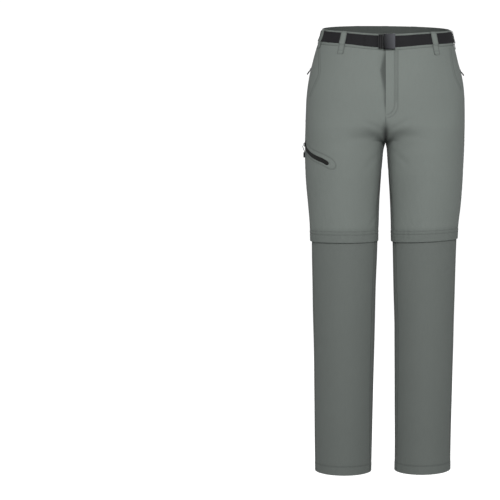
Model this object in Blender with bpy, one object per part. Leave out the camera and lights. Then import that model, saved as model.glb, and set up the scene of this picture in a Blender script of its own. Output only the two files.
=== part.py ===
# Convertible zip-off trousers, filled out and held at the waist.
# +Z is up, the front faces -Y and the wearer's left is towards +X.
# The origin is the middle of the waist, at half the waistband's height.
# Sizes and points are in millimetres, and new_object turns them into metres.

import functools
import math
from collections import namedtuple

import bmesh
import bpy
import numpy as np
from mathutils import Matrix, Vector

MM = 0.001

# Cloth
PANEL_WALL = 1.2
BAND_WALL = 2.0
BAND_RAISE = 0.4
LOOP_WALL = 1.0
SEAM_GAP = 0.3

# Heights
WAIST_TOP = 17.0
WAIST_SEAM = -18.0
CROTCH = -251.0
FLAP_EDGE = -490.0
LOWER_TOP = -474.0
HEM = {"right": -1041.5, "left": -1036.8}

# The waist plane climbs to the back and a little to the wearer's right, and levels out at the hips.
WAIST_CLIMB = 0.182
WAIST_ROLL = -0.025
WAIST_DROP = 2.2
TILT_FULL_ABOVE = -36.0
TILT_NONE_BELOW = -150.0

# The belt's weight pulls the centre front down, less so at the top edge.
SAG_AT_CENTRE = -3.0
SAG_RISE = 6.4
SAG_SPAN = 112.0
SAG_DEPTH = 45.0
SAG_LOST_AT_TOP = 0.4
SAG_LOST_FROM = 6.0

# The knee flaps' edges: how far each lies above its height, and its rise to the outside and to the back
FLAP_LIFT = {"right": 4.0, "left": 6.4}
FLAP_ROLL = {"right": 0.0, "left": 0.043}
FLAP_CLIMB = 0.028
FLAP_LIFT_START = -400.0

# The left hem rises a little to the outside.
HEM_ROLL = {"right": 0.0, "left": 0.03}
HEM_ROLL_START = -940.0

# Rounder than an ellipse, as a filled-out hip is
PELVIS_POWER = 2.0 / 2.3

# Heights where the centre seam starts to run in to the crotch, and where the two legs start to part
Rise = namedtuple("Rise", "arch_start leg_start")
FRONT_RISE = Rise(-188.0, -160.0)
BACK_RISE = Rise(-135.0, -115.0)
SIDE_LEG_START = -140.0

# Distances from the centre plane to the side and to the inside of each leg, and depths of the front,
# the back and the middle of the side, all at one height
Section = namedtuple(
    "Section",
    "height right_side right_inside left_inside left_side front back middle",
)
SHORTS = (
    Section(WAIST_TOP, 149.8, 0.0, 0.0, 152.3, -100, 104, 0),
    Section(0, 153.8, 0.0, 0.0, 156.3, -103, 108, 0),
    Section(WAIST_SEAM, 161.2, 0.0, 0.0, 160.8, -105, 112, 0),
    Section(-36, 167.0, 0.0, 0.0, 165.3, -107, 117, 1),
    Section(-60, 173.6, 0.0, 0.0, 170.8, -110, 124, 2),
    Section(-90, 180.8, 0.0, 0.0, 178.3, -113, 132, 3),
    Section(-120, 185.8, 0.0, 0.0, 182.9, -115, 139, 4),
    Section(-150, 188.8, 0.0, 0.0, 185.3, -116, 145, 5),
    Section(-180, 190.8, 0.0, 0.0, 186.9, -116, 148, 6),
    Section(-215, 192.4, 0.0, 0.0, 188.0, -113, 145, 8),
    Section(CROTCH, 192.5, 0.0, 0.0, 187.4, -106, 127, 10),
    Section(-256, 192.5, 2.4, 1.6, 187.1, -105, 125, 10),
    Section(-271, 192.4, 6.0, 3.6, 186.4, -103, 119, 10),
    Section(-300, 191.9, 8.5, 5.2, 184.6, -99, 111, 9),
    Section(-350, 189.2, 12.0, 8.4, 181.4, -92, 101, 8),
    Section(-400, 185.0, 14.5, 10.9, 177.3, -86, 93, 7),
    Section(-450, 181.3, 15.5, 12.2, 171.9, -80, 87, 6),
    Section(FLAP_EDGE, 179.8, 16.6, 13.0, 169.9, -76, 83, 5),
)
LEGS = (
    Section(-470, 176.6, 17.6, 16.0, 167.8, -72.5, 79.5, 5),
    Section(-520, 175.8, 19.2, 17.2, 167.0, -71, 79, 5),
    Section(-600, 174.0, 23.0, 19.1, 166.3, -68, 82, 7),
    Section(-700, 173.6, 26.0, 21.8, 163.0, -64, 84, 9),
    Section(-800, 172.9, 28.4, 21.9, 159.4, -62, 83, 10),
    Section(-920, 170.6, 30.8, 21.0, 157.0, -61, 80, 10),
    Section(-1038, 170.0, 34.3, 20.8, 155.0, -62, 79, 10),
)

# How far the side seam and the inside seam lie forward of the leg's widest points, in degrees
SeamTurn = namedtuple("SeamTurn", "height side inside")
SEAM_TURNS = (
    SeamTurn(17, -11, 0),
    SeamTurn(-100, -14, 0),
    SeamTurn(-190, -10, 0),
    SeamTurn(CROTCH, -4, 0),
    SeamTurn(-350, 8, 14),
    SeamTurn(-490, 16, 25),
    SeamTurn(-700, 20, 28),
    SeamTurn(-1038, 20, 22),
)

# The right front sinks towards the fly and runs on under the left front.
FlyDip = namedtuple("FlyDip", "height depth")
FLY_DIPS = (
    FlyDip(WAIST_TOP, 3.0),
    FlyDip(WAIST_SEAM, 3.2),
    FlyDip(-45, 6.0),
    FlyDip(-75, 5.6),
    FlyDip(-110, 4.6),
    FlyDip(-150, 3.2),
    FlyDip(-180, 1.4),
    FlyDip(-200, 0.0),
)
DIP_WIDTH = 24.0
UNDERLAP = 5.0
UNDERLAP_FULL_ABOVE = -135.0
UNDERLAP_NONE_BELOW = -162.0
BAND_UNDERLAP = 30.0
FLY_END = -200.0
FLY_CURVE_START = -166.0
FLY_WIDTH = 29.0
FLY_ROWS = (-21, -50, -80, -110, -140, FLY_CURVE_START, -180, -190, -197)
FACING_EDGE = 1.5
FACING_GAP = 0.6
FACING_WALL = 0.8
FACING_END_WIDTH = 4.0
FLY_ZIP_ROWS = (-24, -45, -75, -110, -145, -180)
FLY_ZIP_ACROSS = (-11.0, 0.0, 8.0, 16.0)
FLY_ZIP_GAP = 0.6
FLY_ZIP_WALL = 1.2
FLY_ZIP_LEAST_DEPTH = 1.3

# Rows and columns of the panels
RISE_ROWS = (-30, -45, -65, -90, -115, -145, -170, -187, -200, -212)
ARCH_ANGLES = (50, 65, 75, 83, 90)
THIGH_ROWS = (-256, -264, -276, -296, -325, -360, -400, -440, -470)
LEG_ROWS = (-500, -530, -580, -650, -730, -820, -920, -990)
FRONT_COLUMNS = (0, 0.025, 0.05, 0.085, 0.13, 0.2, 0.29, 0.39, 0.5, 0.61, 0.72, 0.82, 0.91, 1)
BACK_COLUMNS = tuple(np.linspace(0, 1, 13))

# Belt
BELT_HEIGHT = 25.0
BELT_WALL = 1.6
BELT_RAISE = 1.0
BELT_SPACING = 9.0
BELT_RIGHT_END = -13.0
BELT_LEFT_END = 20.0
TURNED_END_FROM = -19.0
TURNED_END_TO = -49.0
BUCKLE_GAP = 0.45
PLATE_SIZE = (27.4, 36.0, 5.0)
PLATE_BEVEL = 1.4
PLATE_AT = 8.2
RECEIVER_SIZE = (11.0, 31.5, 5.4)
RECEIVER_AT = -11.3
RIB_GROOVE = 1.2
# The receiver's ridges across the belt, each from its left to its right edge
RECEIVER_RIDGES = ((-5.5, -3.5), (-1.0, 1.0), (3.5, 5.5))
RIDGE_SLOPE = 0.6

# Belt loops: how far round the waist from the centre front, in quarters, and the height of the lower end
Loop = namedtuple("Loop", "name place lower_end")
LOOPS = (
    Loop("belt_loop_front_left", 0.48, -37),
    Loop("belt_loop_side_left", 0.875, -28),
    Loop("belt_loop_back_left", 1.62, -28),
    Loop("belt_loop_back_centre", 2.0, -28),
    Loop("belt_loop_back_right", 2.38, -28),
    Loop("belt_loop_side_right", 3.28, -28),
    Loop("belt_loop_front_right", 3.58, -37),
)
LOOP_WIDTH = 15.0
LoopStation = namedtuple("LoopStation", "height raise_by")
LOOP_OVER_BELT = (
    LoopStation(WAIST_TOP, 0.75),
    LoopStation(15.2, 1.0),
    LoopStation(13.2, 3.0),
    LoopStation(0.0, 3.2),
    LoopStation(-13.4, 3.0),
    LoopStation(-16.0, 1.2),
    LoopStation(-20.5, 0.8),
)
LOOP_END_RAISE = 0.45

# Zips
ZIP_RAISE = 0.4
ZIP_WALL = 0.6
HAND_ZIP_WIDTH = 8.0
HAND_ZIP_FROM_SEAM = 7.5
HAND_ZIP_TOP = -60.0
HAND_ZIP_END = -200.0
HAND_SLIDER = {"right": -81.0, "left": -82.5}
HAND_PULL_LENGTH = 14.5
HAND_PULL_ANGLE = 24.0
THIGH_ZIP_WIDTH = 10.0
THIGH_ZIP_SEAM_DISTANCE = 34.0
ZipPoint = namedtuple("ZipPoint", "forward height")
THIGH_ZIP = (
    ZipPoint(0.0, -246.0),
    ZipPoint(0.5, -256.0),
    ZipPoint(6.0, -265.5),
    ZipPoint(18.0, -272.5),
    ZipPoint(36.0, -281.7),
    ZipPoint(57.0, -289.7),
    ZipPoint(71.0, -295.0),
    ZipPoint(80.0, -300.3),
)
THIGH_SLIDER = -256.0
THIGH_RING_ANGLE = 38.0
KNEE_ZIP_TOP = -466.0
KNEE_ZIP_END = -498.0
KNEE_ZIP_WALL = 1.0
KNEE_ZIP_GAP = 0.5

# Slider, seen along its zip: body, then a bridge that the pull's bar passes under
SLIDER_WIDTH = 6.6
SLIDER_LENGTH = 9.6
SLIDER_BODY = 1.4
BRIDGE_WIDTH = 1.5
BRIDGE_LENGTH = 5.6
BRIDGE_WINDOW = 1.7
BRIDGE_WALL = 0.7
PIN_WALL = 0.8
RING_OPENING = (3.0, 3.8)
RING_WALL = 0.9

# The thigh pull: a ring with a second slot, a cord through that slot and a moulded tip
RING_RAIL = 1.0
RING_SLOT = 2.4
PULL_CORD_RADIUS = 0.6
PULL_CORD_DROP = 13.0
PULL_CORD_ARCH = 0.5
PULL_CORD_SPREAD = (0.7, 0.9, 1.3)
PULL_TIP_SIZE = (4.4, 13.0, 3.6)
PULL_TIP_BEVEL = 1.2
PULL_TIP_CLEARANCE = 0.9
GUIDE_DEPTH = 5.0

CLOTH = (0.165, 0.195, 0.172, 1.0)
WEBBING = (0.021, 0.020, 0.022, 1.0)
BLACK = (0.012, 0.012, 0.013, 1.0)
PLATE = (0.075, 0.078, 0.085, 1.0)
RING_METAL = (0.45, 0.46, 0.46, 1.0)


# Small helpers


def smoothstep(value):
    limited = np.clip(value, 0.0, 1.0)
    return limited * limited * (3.0 - 2.0 * limited)


def smooth_column(table, name, height):
    """One column of a table at any height, by a cubic that never overshoots its rows."""
    rows = sorted(table, key=lambda row: row.height)
    heights = np.array([row.height for row in rows], float)
    values = np.array([getattr(row, name) for row in rows], float)
    height = min(max(height, heights[0]), heights[-1])
    steps = np.diff(heights)
    rises = np.diff(values) / steps
    slopes = np.zeros_like(values)
    slopes[0] = rises[0]
    slopes[-1] = rises[-1]
    for index in range(1, len(values) - 1):
        before, after = rises[index - 1], rises[index]
        if before * after > 0:
            slopes[index] = 2.0 * before * after / (before + after)
    place = int(np.clip(np.searchsorted(heights, height) - 1, 0, len(steps) - 1))
    step = steps[place]
    t = (height - heights[place]) / step
    start = (1 + 2 * t) * (1 - t) ** 2 * values[place] + t * (1 - t) ** 2 * step * slopes[place]
    end = t * t * (3 - 2 * t) * values[place + 1] + t * t * (t - 1) * step * slopes[place + 1]
    return start + end


# The garment's surface
# A place on it has a height and a number of quarters round the body: 0 is the centre front, 1 the left
# side seam, 2 the centre back, 3 the right side seam and 4 the centre front again. Below the crotch the
# quarters 0 and 2 meet at the left leg's inside seam, and 2 and 4 at the right one's.


def pelvis_curve(side, front, back, middle, angle):
    """Half of the hip section, at angles from the centre front (0) to the centre back (180)."""
    sine = np.abs(np.sin(np.radians(angle)))
    cosine = np.cos(np.radians(angle))
    reach = np.where(cosine >= 0, front - middle, back - middle)
    across = side * sine ** PELVIS_POWER
    depth = middle + reach * np.abs(cosine) ** PELVIS_POWER
    return across, depth


def leg_curve(inside, side, front, back, middle, angle):
    """A whole leg section, at angles from its inside (0) over the front (90) to its side (180)."""
    sine = np.sin(np.radians(angle))
    reach = np.where(sine >= 0, front - middle, back - middle)
    across = (inside + side) / 2 - (side - inside) / 2 * np.cos(np.radians(angle))
    depth = middle + reach * np.abs(sine)
    return across, depth


def leg_share(start, height):
    """How far the section has turned from a hip's into two legs': 0 to 1 at the crotch."""
    return float(smoothstep((start - height) / (start - CROTCH)))


def arch_share(start, height):
    """How far the centre seam has run in along the crotch's arch, a quarter ellipse: 0 to 1."""
    t = np.clip((start - height) / (start - CROTCH), 0.0, 1.0)
    return 1.0 - math.sqrt(1.0 - t * t)


@functools.lru_cache(maxsize=None)
def quarter(table, leg, half, height):
    """Points of one panel's width, from its centre or inside seam to its side seam."""
    side = smooth_column(table, leg + "_side", height)
    inside = smooth_column(table, leg + "_inside", height)
    front = smooth_column(table, "front", height)
    back = smooth_column(table, "back", height)
    middle = smooth_column(table, "middle", height)
    side_turn = smooth_column(SEAM_TURNS, "side", height)
    inside_turn = smooth_column(SEAM_TURNS, "inside", height)
    u = np.linspace(0.0, 1.0, 161)
    rise = FRONT_RISE if half == "front" else BACK_RISE
    own_share = leg_share(rise.leg_start, height)
    arch = arch_share(rise.arch_start, height)
    seam_angle = 90.0
    if own_share > 0:
        seam_angle = math.degrees(math.asin(max(0.0, 1.0 - arch / own_share)))
    if half == "front":
        start = inside_turn + seam_angle
        hip_angle = u * (90 - side_turn)
        leg_angle = start + u * (180 - side_turn - start)
    else:
        start = inside_turn - seam_angle
        hip_angle = 180 - u * (90 + side_turn)
        leg_angle = 360 + start - u * (180 + start + side_turn)
    share = own_share + (leg_share(SIDE_LEG_START, height) - own_share) * smoothstep(u)
    hip_across, hip_depth = pelvis_curve(side, front, back, middle, hip_angle)
    leg_across, leg_depth = leg_curve(inside, side, front, back, middle, leg_angle)
    if height >= CROTCH:
        leg_across = leg_across - leg_across[0] * (1.0 - u) ** 2
    across = hip_across + (leg_across - hip_across) * share
    depth = hip_depth + (leg_depth - hip_depth) * share
    x = across if leg == "left" else -across
    tilt = smoothstep((height - TILT_NONE_BELOW) / (TILT_FULL_ABOVE - TILT_NONE_BELOW))
    sag = SAG_AT_CENTRE + SAG_RISE * smoothstep(across / SAG_SPAN)
    sag = sag * (1.0 - SAG_LOST_AT_TOP * smoothstep((height - SAG_LOST_FROM) / (WAIST_TOP - SAG_LOST_FROM)))
    sag = sag * smoothstep(-depth / SAG_DEPTH)
    z = height + tilt * (WAIST_CLIMB * depth + WAIST_ROLL * x - WAIST_DROP + sag)
    outward = across - (side + inside) / 2
    if table is SHORTS:
        share = smoothstep((FLAP_LIFT_START - height) / (FLAP_LIFT_START - FLAP_EDGE))
        z = z + share * (FLAP_LIFT[leg] + FLAP_ROLL[leg] * outward + FLAP_CLIMB * (depth - middle))
    else:
        share = smoothstep((HEM_ROLL_START - height) / (HEM_ROLL_START - HEM[leg]))
        z = z + share * HEM_ROLL[leg] * outward
    points = np.stack([x, depth, z], axis=1)
    length = np.concatenate([[0.0], np.cumsum(np.linalg.norm(np.diff(points, axis=0), axis=1))])
    return points, length


QUARTERS = (("left", "front"), ("left", "back"), ("right", "back"), ("right", "front"))


def quarter_length(table, number, height):
    leg, half = QUARTERS[number]
    return quarter(table, leg, half, height)[1][-1]


def surface(table, places, height):
    """Points of the outer surface at several places round one height."""
    places = np.atleast_1d(np.asarray(places, float))
    wrapped = np.where((places < 0) | (places > 4), np.mod(places, 4.0), places)
    numbers = np.minimum(wrapped.astype(int), 3)
    points = np.zeros((len(places), 3))
    for number in range(4):
        chosen = numbers == number
        if not chosen.any():
            continue
        line, length = quarter(table, *QUARTERS[number], height)
        fraction = wrapped[chosen] - number
        if number in (1, 3):
            fraction = 1.0 - fraction
        along = fraction * length[-1]
        for axis in range(3):
            points[chosen, axis] = np.interp(along, length, line[:, axis])
    return points


def beside(places, step, height):
    """The places a small step further round: round the whole body above the crotch, or round one leg."""
    moved = places + step
    if height >= CROTCH:
        return moved
    return np.where(places < 2.0, np.mod(moved, 2.0), 2.0 + np.mod(moved - 2.0, 2.0))


def surface_normals(table, places, height):
    """Outward directions of the surface at the same places."""
    places = np.atleast_1d(np.asarray(places, float))
    after = surface(table, beside(places, 0.003, height), height)
    before = surface(table, beside(places, -0.003, height), height)
    upper, lower = height + 1.0, height - 1.0
    if CROTCH <= height < CROTCH + 1.5:
        upper, lower = height + 2.0, height
    if CROTCH - 1.5 < height < CROTCH:
        upper, lower = height, height - 2.0
    down = surface(table, places, lower) - surface(table, places, upper)
    normals = np.cross(down, after - before)
    on_centre = (np.abs(np.mod(places + 1.0, 2.0) - 1.0) < 0.003) & (height >= CROTCH)
    normals[on_centre, 0] = 0.0
    return normals / np.linalg.norm(normals, axis=1)[:, None]


def cloth(table, places, height, raise_by=0.0):
    """Points a given distance outside the surface, or inside it where the distance is negative."""
    return surface(table, places, height) + surface_normals(table, places, height) * raise_by


def dip_right_front(points, height):
    """Moves the right front's points in towards the fly, and the last ones on under the left front."""
    reach = np.abs(points[:, 0])
    depth = smooth_column(FLY_DIPS, "depth", height) * smoothstep(1.0 - reach / DIP_WIDTH)
    span = UNDERLAP_FULL_ABOVE - UNDERLAP_NONE_BELOW
    underlap = UNDERLAP * smoothstep((height - UNDERLAP_NONE_BELOW) / span)
    moved = points.copy()
    moved[:, 1] += depth
    moved[:, 0] += underlap * smoothstep(1.0 - reach / 10.0)
    return moved


# Making objects


def new_material(name, color, roughness, metallic=0.0):
    material = bpy.data.materials.new(name)
    material.use_nodes = True
    shader = material.node_tree.nodes["Principled BSDF"]
    shader.inputs["Base Color"].default_value = color
    shader.inputs["Roughness"].default_value = roughness
    shader.inputs["Metallic"].default_value = metallic
    return material


def new_object(name, points, faces, look, origin=(0.0, 0.0, 0.0)):
    """A mesh object in metres, from points in millimetres, with its origin at a chosen point."""
    moved = (np.asarray(points, float) - np.asarray(origin, float)) * MM
    mesh = bpy.data.meshes.new(name)
    mesh.from_pydata([tuple(point) for point in moved], [], [tuple(face) for face in faces])
    working = bmesh.new()
    working.from_mesh(mesh)
    bmesh.ops.recalc_face_normals(working, faces=working.faces)
    working.to_mesh(mesh)
    working.free()
    mesh.shade_smooth()
    mesh.set_sharp_from_angle(angle=math.radians(35))
    item = bpy.data.objects.new(name, mesh)
    item.location = Vector(origin) * MM
    bpy.context.scene.collection.objects.link(item)
    mesh.materials.append(new_material(name, *look))
    return item


def wall(name, outer, inner, look, closed=False):
    """A closed wall between two grids of points; a closed one joins its last column to its first."""
    rows, columns = outer.shape[:2]
    count = rows * columns
    top = np.arange(count).reshape(rows, columns)
    pairs = [(column, column + 1) for column in range(columns - 1)]
    if closed:
        pairs.append((columns - 1, 0))
    faces = []
    for row in range(rows - 1):
        for here, there in pairs:
            face = (top[row, here], top[row + 1, here], top[row + 1, there], top[row, there])
            faces.append(face)
            faces.append(tuple(index + count for index in reversed(face)))
    for row, order in ((0, 1), (rows - 1, -1)):
        for here, there in pairs:
            face = (top[row, here], top[row, there], top[row, there] + count, top[row, here] + count)
            faces.append(face[::order])
    if not closed:
        for column, order in ((0, -1), (columns - 1, 1)):
            for row in range(rows - 1):
                here, there = top[row, column], top[row + 1, column]
                faces.append((here, there, there + count, here + count)[::order])
    points = np.concatenate([outer.reshape(-1, 3), inner.reshape(-1, 3)])
    return new_object(name, points, faces, look)


def box(name, size, centre, frame, look, bevel=0.0, origin=None):
    """A box in a frame of directions, with rounded edges."""
    corners = []
    for w in (-0.5, 0.5):
        for v in (-0.5, 0.5):
            for u in (-0.5, 0.5):
                corners.append(Vector((u * size[0], v * size[1], w * size[2])) + Vector(centre))
    points = [tuple(frame @ corner) for corner in corners]
    faces = [(0, 2, 3, 1), (4, 5, 7, 6), (0, 1, 5, 4), (2, 6, 7, 3), (0, 4, 6, 2), (1, 3, 7, 5)]
    item = new_object(name, points, faces, look, origin or tuple(frame.translation))
    if bevel > 0:
        rounding = item.modifiers.new("rounded edges", "BEVEL")
        rounding.width = bevel * MM
        rounding.segments = 2
        rounding.limit_method = "ANGLE"
    return item


def prism(name, outline, low, high, frame, look, origin=None):
    """A flat outline in a frame's first two directions, given a thickness along the third."""
    count = len(outline)
    points = [tuple(frame @ Vector((u, v, w))) for w in (low, high) for u, v in outline]
    faces = [tuple(reversed(range(count))), tuple(range(count, 2 * count))]
    for index in range(count):
        after = (index + 1) % count
        faces.append((index, after, after + count, index + count))
    return new_object(name, points, faces, look, origin or tuple(frame.translation))


def combine(target, other, operation):
    """Joins or cuts one object with another, and keeps the other only as a hidden guide."""
    other.hide_render = True
    other.display_type = "WIRE"
    step = target.modifiers.new(operation.lower(), "BOOLEAN")
    step.operation = operation
    step.solver = "EXACT"
    step.object = other


# Panels


def shorts_rows():
    start = BACK_RISE.arch_start
    arch = [start + (CROTCH - start) * math.sin(math.radians(angle)) for angle in ARCH_ANGLES]
    arch[-1] = CROTCH
    first = WAIST_SEAM - SEAM_GAP / 2
    return [first, *RISE_ROWS, *arch, *THIGH_ROWS, FLAP_EDGE]


def panel_places(table, number, height, columns):
    """The panel's columns in quarters round the body, drawn back from its seams."""
    fractions = np.array(columns, float)
    if QUARTERS[number][1] == "back":
        fractions = fractions[::-1]
    if number in (1, 3):
        fractions = 1.0 - fractions
    margin = SEAM_GAP / 2 / quarter_length(table, number, height)
    return number + np.clip(np.sort(fractions), margin, 1.0 - margin)


def panel_grid(table, number, heights, columns, raise_by):
    rows = []
    for height in heights:
        places = panel_places(table, number, height, columns)
        points = cloth(table, places, height, raise_by)
        if table is SHORTS and QUARTERS[number] == ("right", "front"):
            points = dip_right_front(points, height)
        rows.append(points)
    return np.array(rows)


def make_panels():
    look = (CLOTH, 0.85)
    for number, (leg, half) in enumerate(QUARTERS):
        columns = FRONT_COLUMNS if half == "front" else BACK_COLUMNS
        heights = shorts_rows()
        outer = panel_grid(SHORTS, number, heights, columns, 0.0)
        inner = panel_grid(SHORTS, number, heights, columns, -PANEL_WALL)
        wall(f"upper_{half}_{leg}", outer, inner, look)
        heights = [LOWER_TOP, *LEG_ROWS, HEM[leg]]
        outer = panel_grid(LEGS, number, heights, columns, 0.0)
        inner = panel_grid(LEGS, number, heights, columns, -PANEL_WALL)
        wall(f"lower_{half}_{leg}", outer, inner, look)


# Waistband, loops and belt


def place_at(distance):
    """Quarters round the waist for a distance from the centre front, positive to the wearer's left."""
    number = 0 if distance >= 0 else 3
    return distance / quarter_length(SHORTS, number, 0.0)


def waist_grid(places, heights, raises):
    """Points at the same places for each height, each height with its own distance from the surface."""
    return np.array([cloth(SHORTS, places, h, r) for h, r in zip(heights, raises)])


def make_waistband():
    """Waistband pieces with the panels' own columns, so that their seam lines match."""
    look = (CLOTH, 0.85)
    heights = (WAIST_TOP, 0.0, WAIST_SEAM + SEAM_GAP / 2)
    left = panel_places(SHORTS, 0, 0.0, FRONT_COLUMNS)
    back_left = panel_places(SHORTS, 1, 0.0, BACK_COLUMNS)
    back_right = panel_places(SHORTS, 2, 0.0, BACK_COLUMNS)
    back = np.concatenate([back_left[:-1], [2.0], back_right[1:]])
    for name, places in (("waistband_front_left", left), ("waistband_back", back)):
        outer = waist_grid(places, heights, [BAND_RAISE] * 3)
        inner = waist_grid(places, heights, [BAND_RAISE - BAND_WALL] * 3)
        wall(name, outer, inner, look)
    right = panel_places(SHORTS, 3, 0.0, FRONT_COLUMNS)[:-1] - 4.0
    lap = [place_at(distance) for distance in (0.0, BAND_UNDERLAP / 3, BAND_UNDERLAP)]
    places = np.concatenate([right, lap])
    sinks = smoothstep(1.0 + places * quarter_length(SHORTS, 3, 0.0) / DIP_WIDTH)
    grids = []
    for depth in (BAND_RAISE, BAND_RAISE - BAND_WALL):
        rows = []
        for height in heights:
            points = cloth(SHORTS, places, height, depth)
            points[:, 1] += sinks * smooth_column(FLY_DIPS, "depth", height)
            rows.append(points)
        grids.append(np.array(rows))
    wall("waistband_front_right", grids[0], grids[1], look)


def make_loops():
    for loop in LOOPS:
        stations = list(LOOP_OVER_BELT)
        stations.append(LoopStation((stations[-1].height + loop.lower_end) / 2, LOOP_END_RAISE + 0.1))
        stations.append(LoopStation(loop.lower_end, LOOP_END_RAISE))
        half = LOOP_WIDTH / 2 / quarter_length(SHORTS, int(loop.place) % 4, 0.0)
        places = loop.place + np.array([-half, 0.0, half])
        heights = [station.height for station in stations]
        raises = [station.raise_by for station in stations]
        inner = waist_grid(places, heights, raises)
        outer = waist_grid(places, heights, [value + LOOP_WALL for value in raises])
        wall(loop.name, outer, inner, (CLOTH, 0.85))


def make_belt():
    look = (WEBBING, 0.7)
    heights = (BELT_HEIGHT / 2, 0.0, -BELT_HEIGHT / 2)
    start, end = place_at(BELT_LEFT_END), 4.0 + place_at(BELT_RIGHT_END)
    girth = sum(quarter_length(SHORTS, number, 0.0) for number in range(4))
    places = np.linspace(start, end, int(girth / BELT_SPACING))
    inner = waist_grid(places, heights, [BELT_RAISE] * 3)
    outer = waist_grid(places, heights, [BELT_RAISE + BELT_WALL] * 3)
    wall("belt_webbing", outer, inner, look)
    distances = np.linspace(TURNED_END_TO, TURNED_END_FROM, 5)
    places = np.array([4.0 + place_at(distance) for distance in distances])
    lift = BELT_RAISE + BELT_WALL + SEAM_GAP
    inner = waist_grid(places, heights, [lift] * 3)
    outer = waist_grid(places, heights, [lift + BELT_WALL] * 3)
    wall("belt_turned_end", outer, inner, look)


def cloth_frame(table, place, height, raise_by, down=(0.0, 0.0, -1.0)):
    """Directions on the cloth at a place: across, along (as near as can be to down) and outwards."""
    out = Vector(surface_normals(table, [place], height)[0])
    along = Vector(down)
    along = (along - out * along.dot(out)).normalized()
    across = along.cross(out)
    frame = Matrix((across, along, out)).transposed().to_4x4()
    frame.translation = Vector(cloth(table, [place], height, raise_by)[0])
    return frame


def make_buckle():
    base = BELT_RAISE + BELT_WALL + BUCKLE_GAP
    frame = cloth_frame(SHORTS, place_at(PLATE_AT), 0.0, base)
    look = (PLATE, 0.4, 0.6)
    box("buckle_plate", PLATE_SIZE, (0, 0, PLATE_SIZE[2] / 2), frame, look, bevel=PLATE_BEVEL)
    width, height, top = RECEIVER_SIZE
    frame = cloth_frame(SHORTS, 4.0 + place_at(RECEIVER_AT), 0.0, base)
    floor = top - RIB_GROOVE
    outline = [(-width / 2, 0)]
    for left, right in RECEIVER_RIDGES:
        if left > -width / 2:
            outline.append((left - RIDGE_SLOPE, floor))
        outline += [(left, top), (right, top)]
        if right < width / 2:
            outline.append((right + RIDGE_SLOPE, floor))
    outline.append((width / 2, 0))
    turned = frame @ Matrix.Rotation(math.pi / 2, 4, "X")
    prism("buckle_receiver", outline, -height / 2, height / 2, turned, (BLACK, 0.45))


# Fly


def make_fly():
    """The facing behind the left front, curved in at its lower end, and the zip behind both fronts."""
    rows = []
    for height in FLY_ROWS:
        drop = max(0.0, (FLY_CURVE_START - height) / (FLY_CURVE_START - FLY_END))
        width = max(FLY_WIDTH * math.sqrt(1.0 - drop * drop), FACING_END_WIDTH)
        rows.append((height, np.linspace(FACING_EDGE, width, 5) / quarter_length(SHORTS, 0, height)))
    near = -PANEL_WALL - FACING_GAP
    outer = np.array([cloth(SHORTS, places, height, near) for height, places in rows])
    inner = np.array([cloth(SHORTS, places, height, near - FACING_WALL) for height, places in rows])
    wall("fly_facing", outer, inner, (CLOTH, 0.85))
    outer, inner = [], []
    for height in FLY_ZIP_ROWS:
        dip = max(smooth_column(FLY_DIPS, "depth", height), FLY_ZIP_LEAST_DEPTH)
        near = -dip - PANEL_WALL - FLY_ZIP_GAP
        places = np.array(FLY_ZIP_ACROSS) / quarter_length(SHORTS, 0, height)
        outer.append(cloth(SHORTS, places, height, near))
        inner.append(cloth(SHORTS, places, height, near - FLY_ZIP_WALL))
    wall("fly_zip", np.array(outer), np.array(inner), (BLACK, 0.6))


# Zips, sliders and pulls


def front_place(table, leg, seam_distance, height):
    """Quarters for a point on a front panel, a distance forward of its side seam."""
    number = 0 if leg == "left" else 3
    share = seam_distance / quarter_length(table, number, height)
    return 1.0 - share if leg == "left" else 3.0 + share


def zip_strip(name, leg, stations):
    """A flat strip on a front panel from (seam distance, height, half width, way across) stations."""
    inner, outer = [], []
    for distance, height, half, (forward, upward) in stations:
        points = {"inner": [], "outer": []}
        for share in (-1.0, 0.0, 1.0):
            at = height + share * half * upward
            place = front_place(SHORTS, leg, distance + share * half * forward, at)
            points["inner"].append(cloth(SHORTS, [place], at, ZIP_RAISE)[0])
            points["outer"].append(cloth(SHORTS, [place], at, ZIP_RAISE + ZIP_WALL)[0])
        inner.append(points["inner"])
        outer.append(points["outer"])
    wall(name, np.array(outer), np.array(inner), (BLACK, 0.6))


def make_slider(name, frame):
    """A slider on its zip: the frame's origin is on the zip under the slider's middle."""
    size = (SLIDER_WIDTH, SLIDER_LENGTH, SLIDER_BODY)
    body = box(name, size, (0, 0, SLIDER_BODY / 2), frame, (BLACK, 0.4), bevel=0.0)
    half, roof = BRIDGE_LENGTH / 2, SLIDER_BODY + BRIDGE_WINDOW
    foot = SLIDER_BODY - 0.5
    outline = [(-half, foot), (-half, roof + BRIDGE_WALL), (half, roof + BRIDGE_WALL), (half, foot)]
    outline += [(half - BRIDGE_WALL, foot), (half - BRIDGE_WALL, roof)]
    outline += [(-half + BRIDGE_WALL, roof), (-half + BRIDGE_WALL, foot)]
    sideways = Matrix(((0, 0, 1, 0), (1, 0, 0, 0), (0, 1, 0, 0), (0, 0, 0, 1)))
    bridge = prism(
        name + "_bridge_guide", outline, -BRIDGE_WIDTH / 2, BRIDGE_WIDTH / 2,
        frame @ sideways, (BLACK, 0.4),
    )
    combine(body, bridge, "UNION")
    return frame @ Matrix.Translation((0, 0, SLIDER_BODY + BRIDGE_WINDOW / 2))


def pull_frame(pin, angle):
    """The pull's own frame: its origin on the pin, turned up from the cloth by an angle."""
    return pin @ Matrix.Rotation(math.radians(angle), 4, "X")


def ring_outline(half_width, start, end):
    return [(-half_width, start), (half_width, start), (half_width, end), (-half_width, end)]


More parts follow.
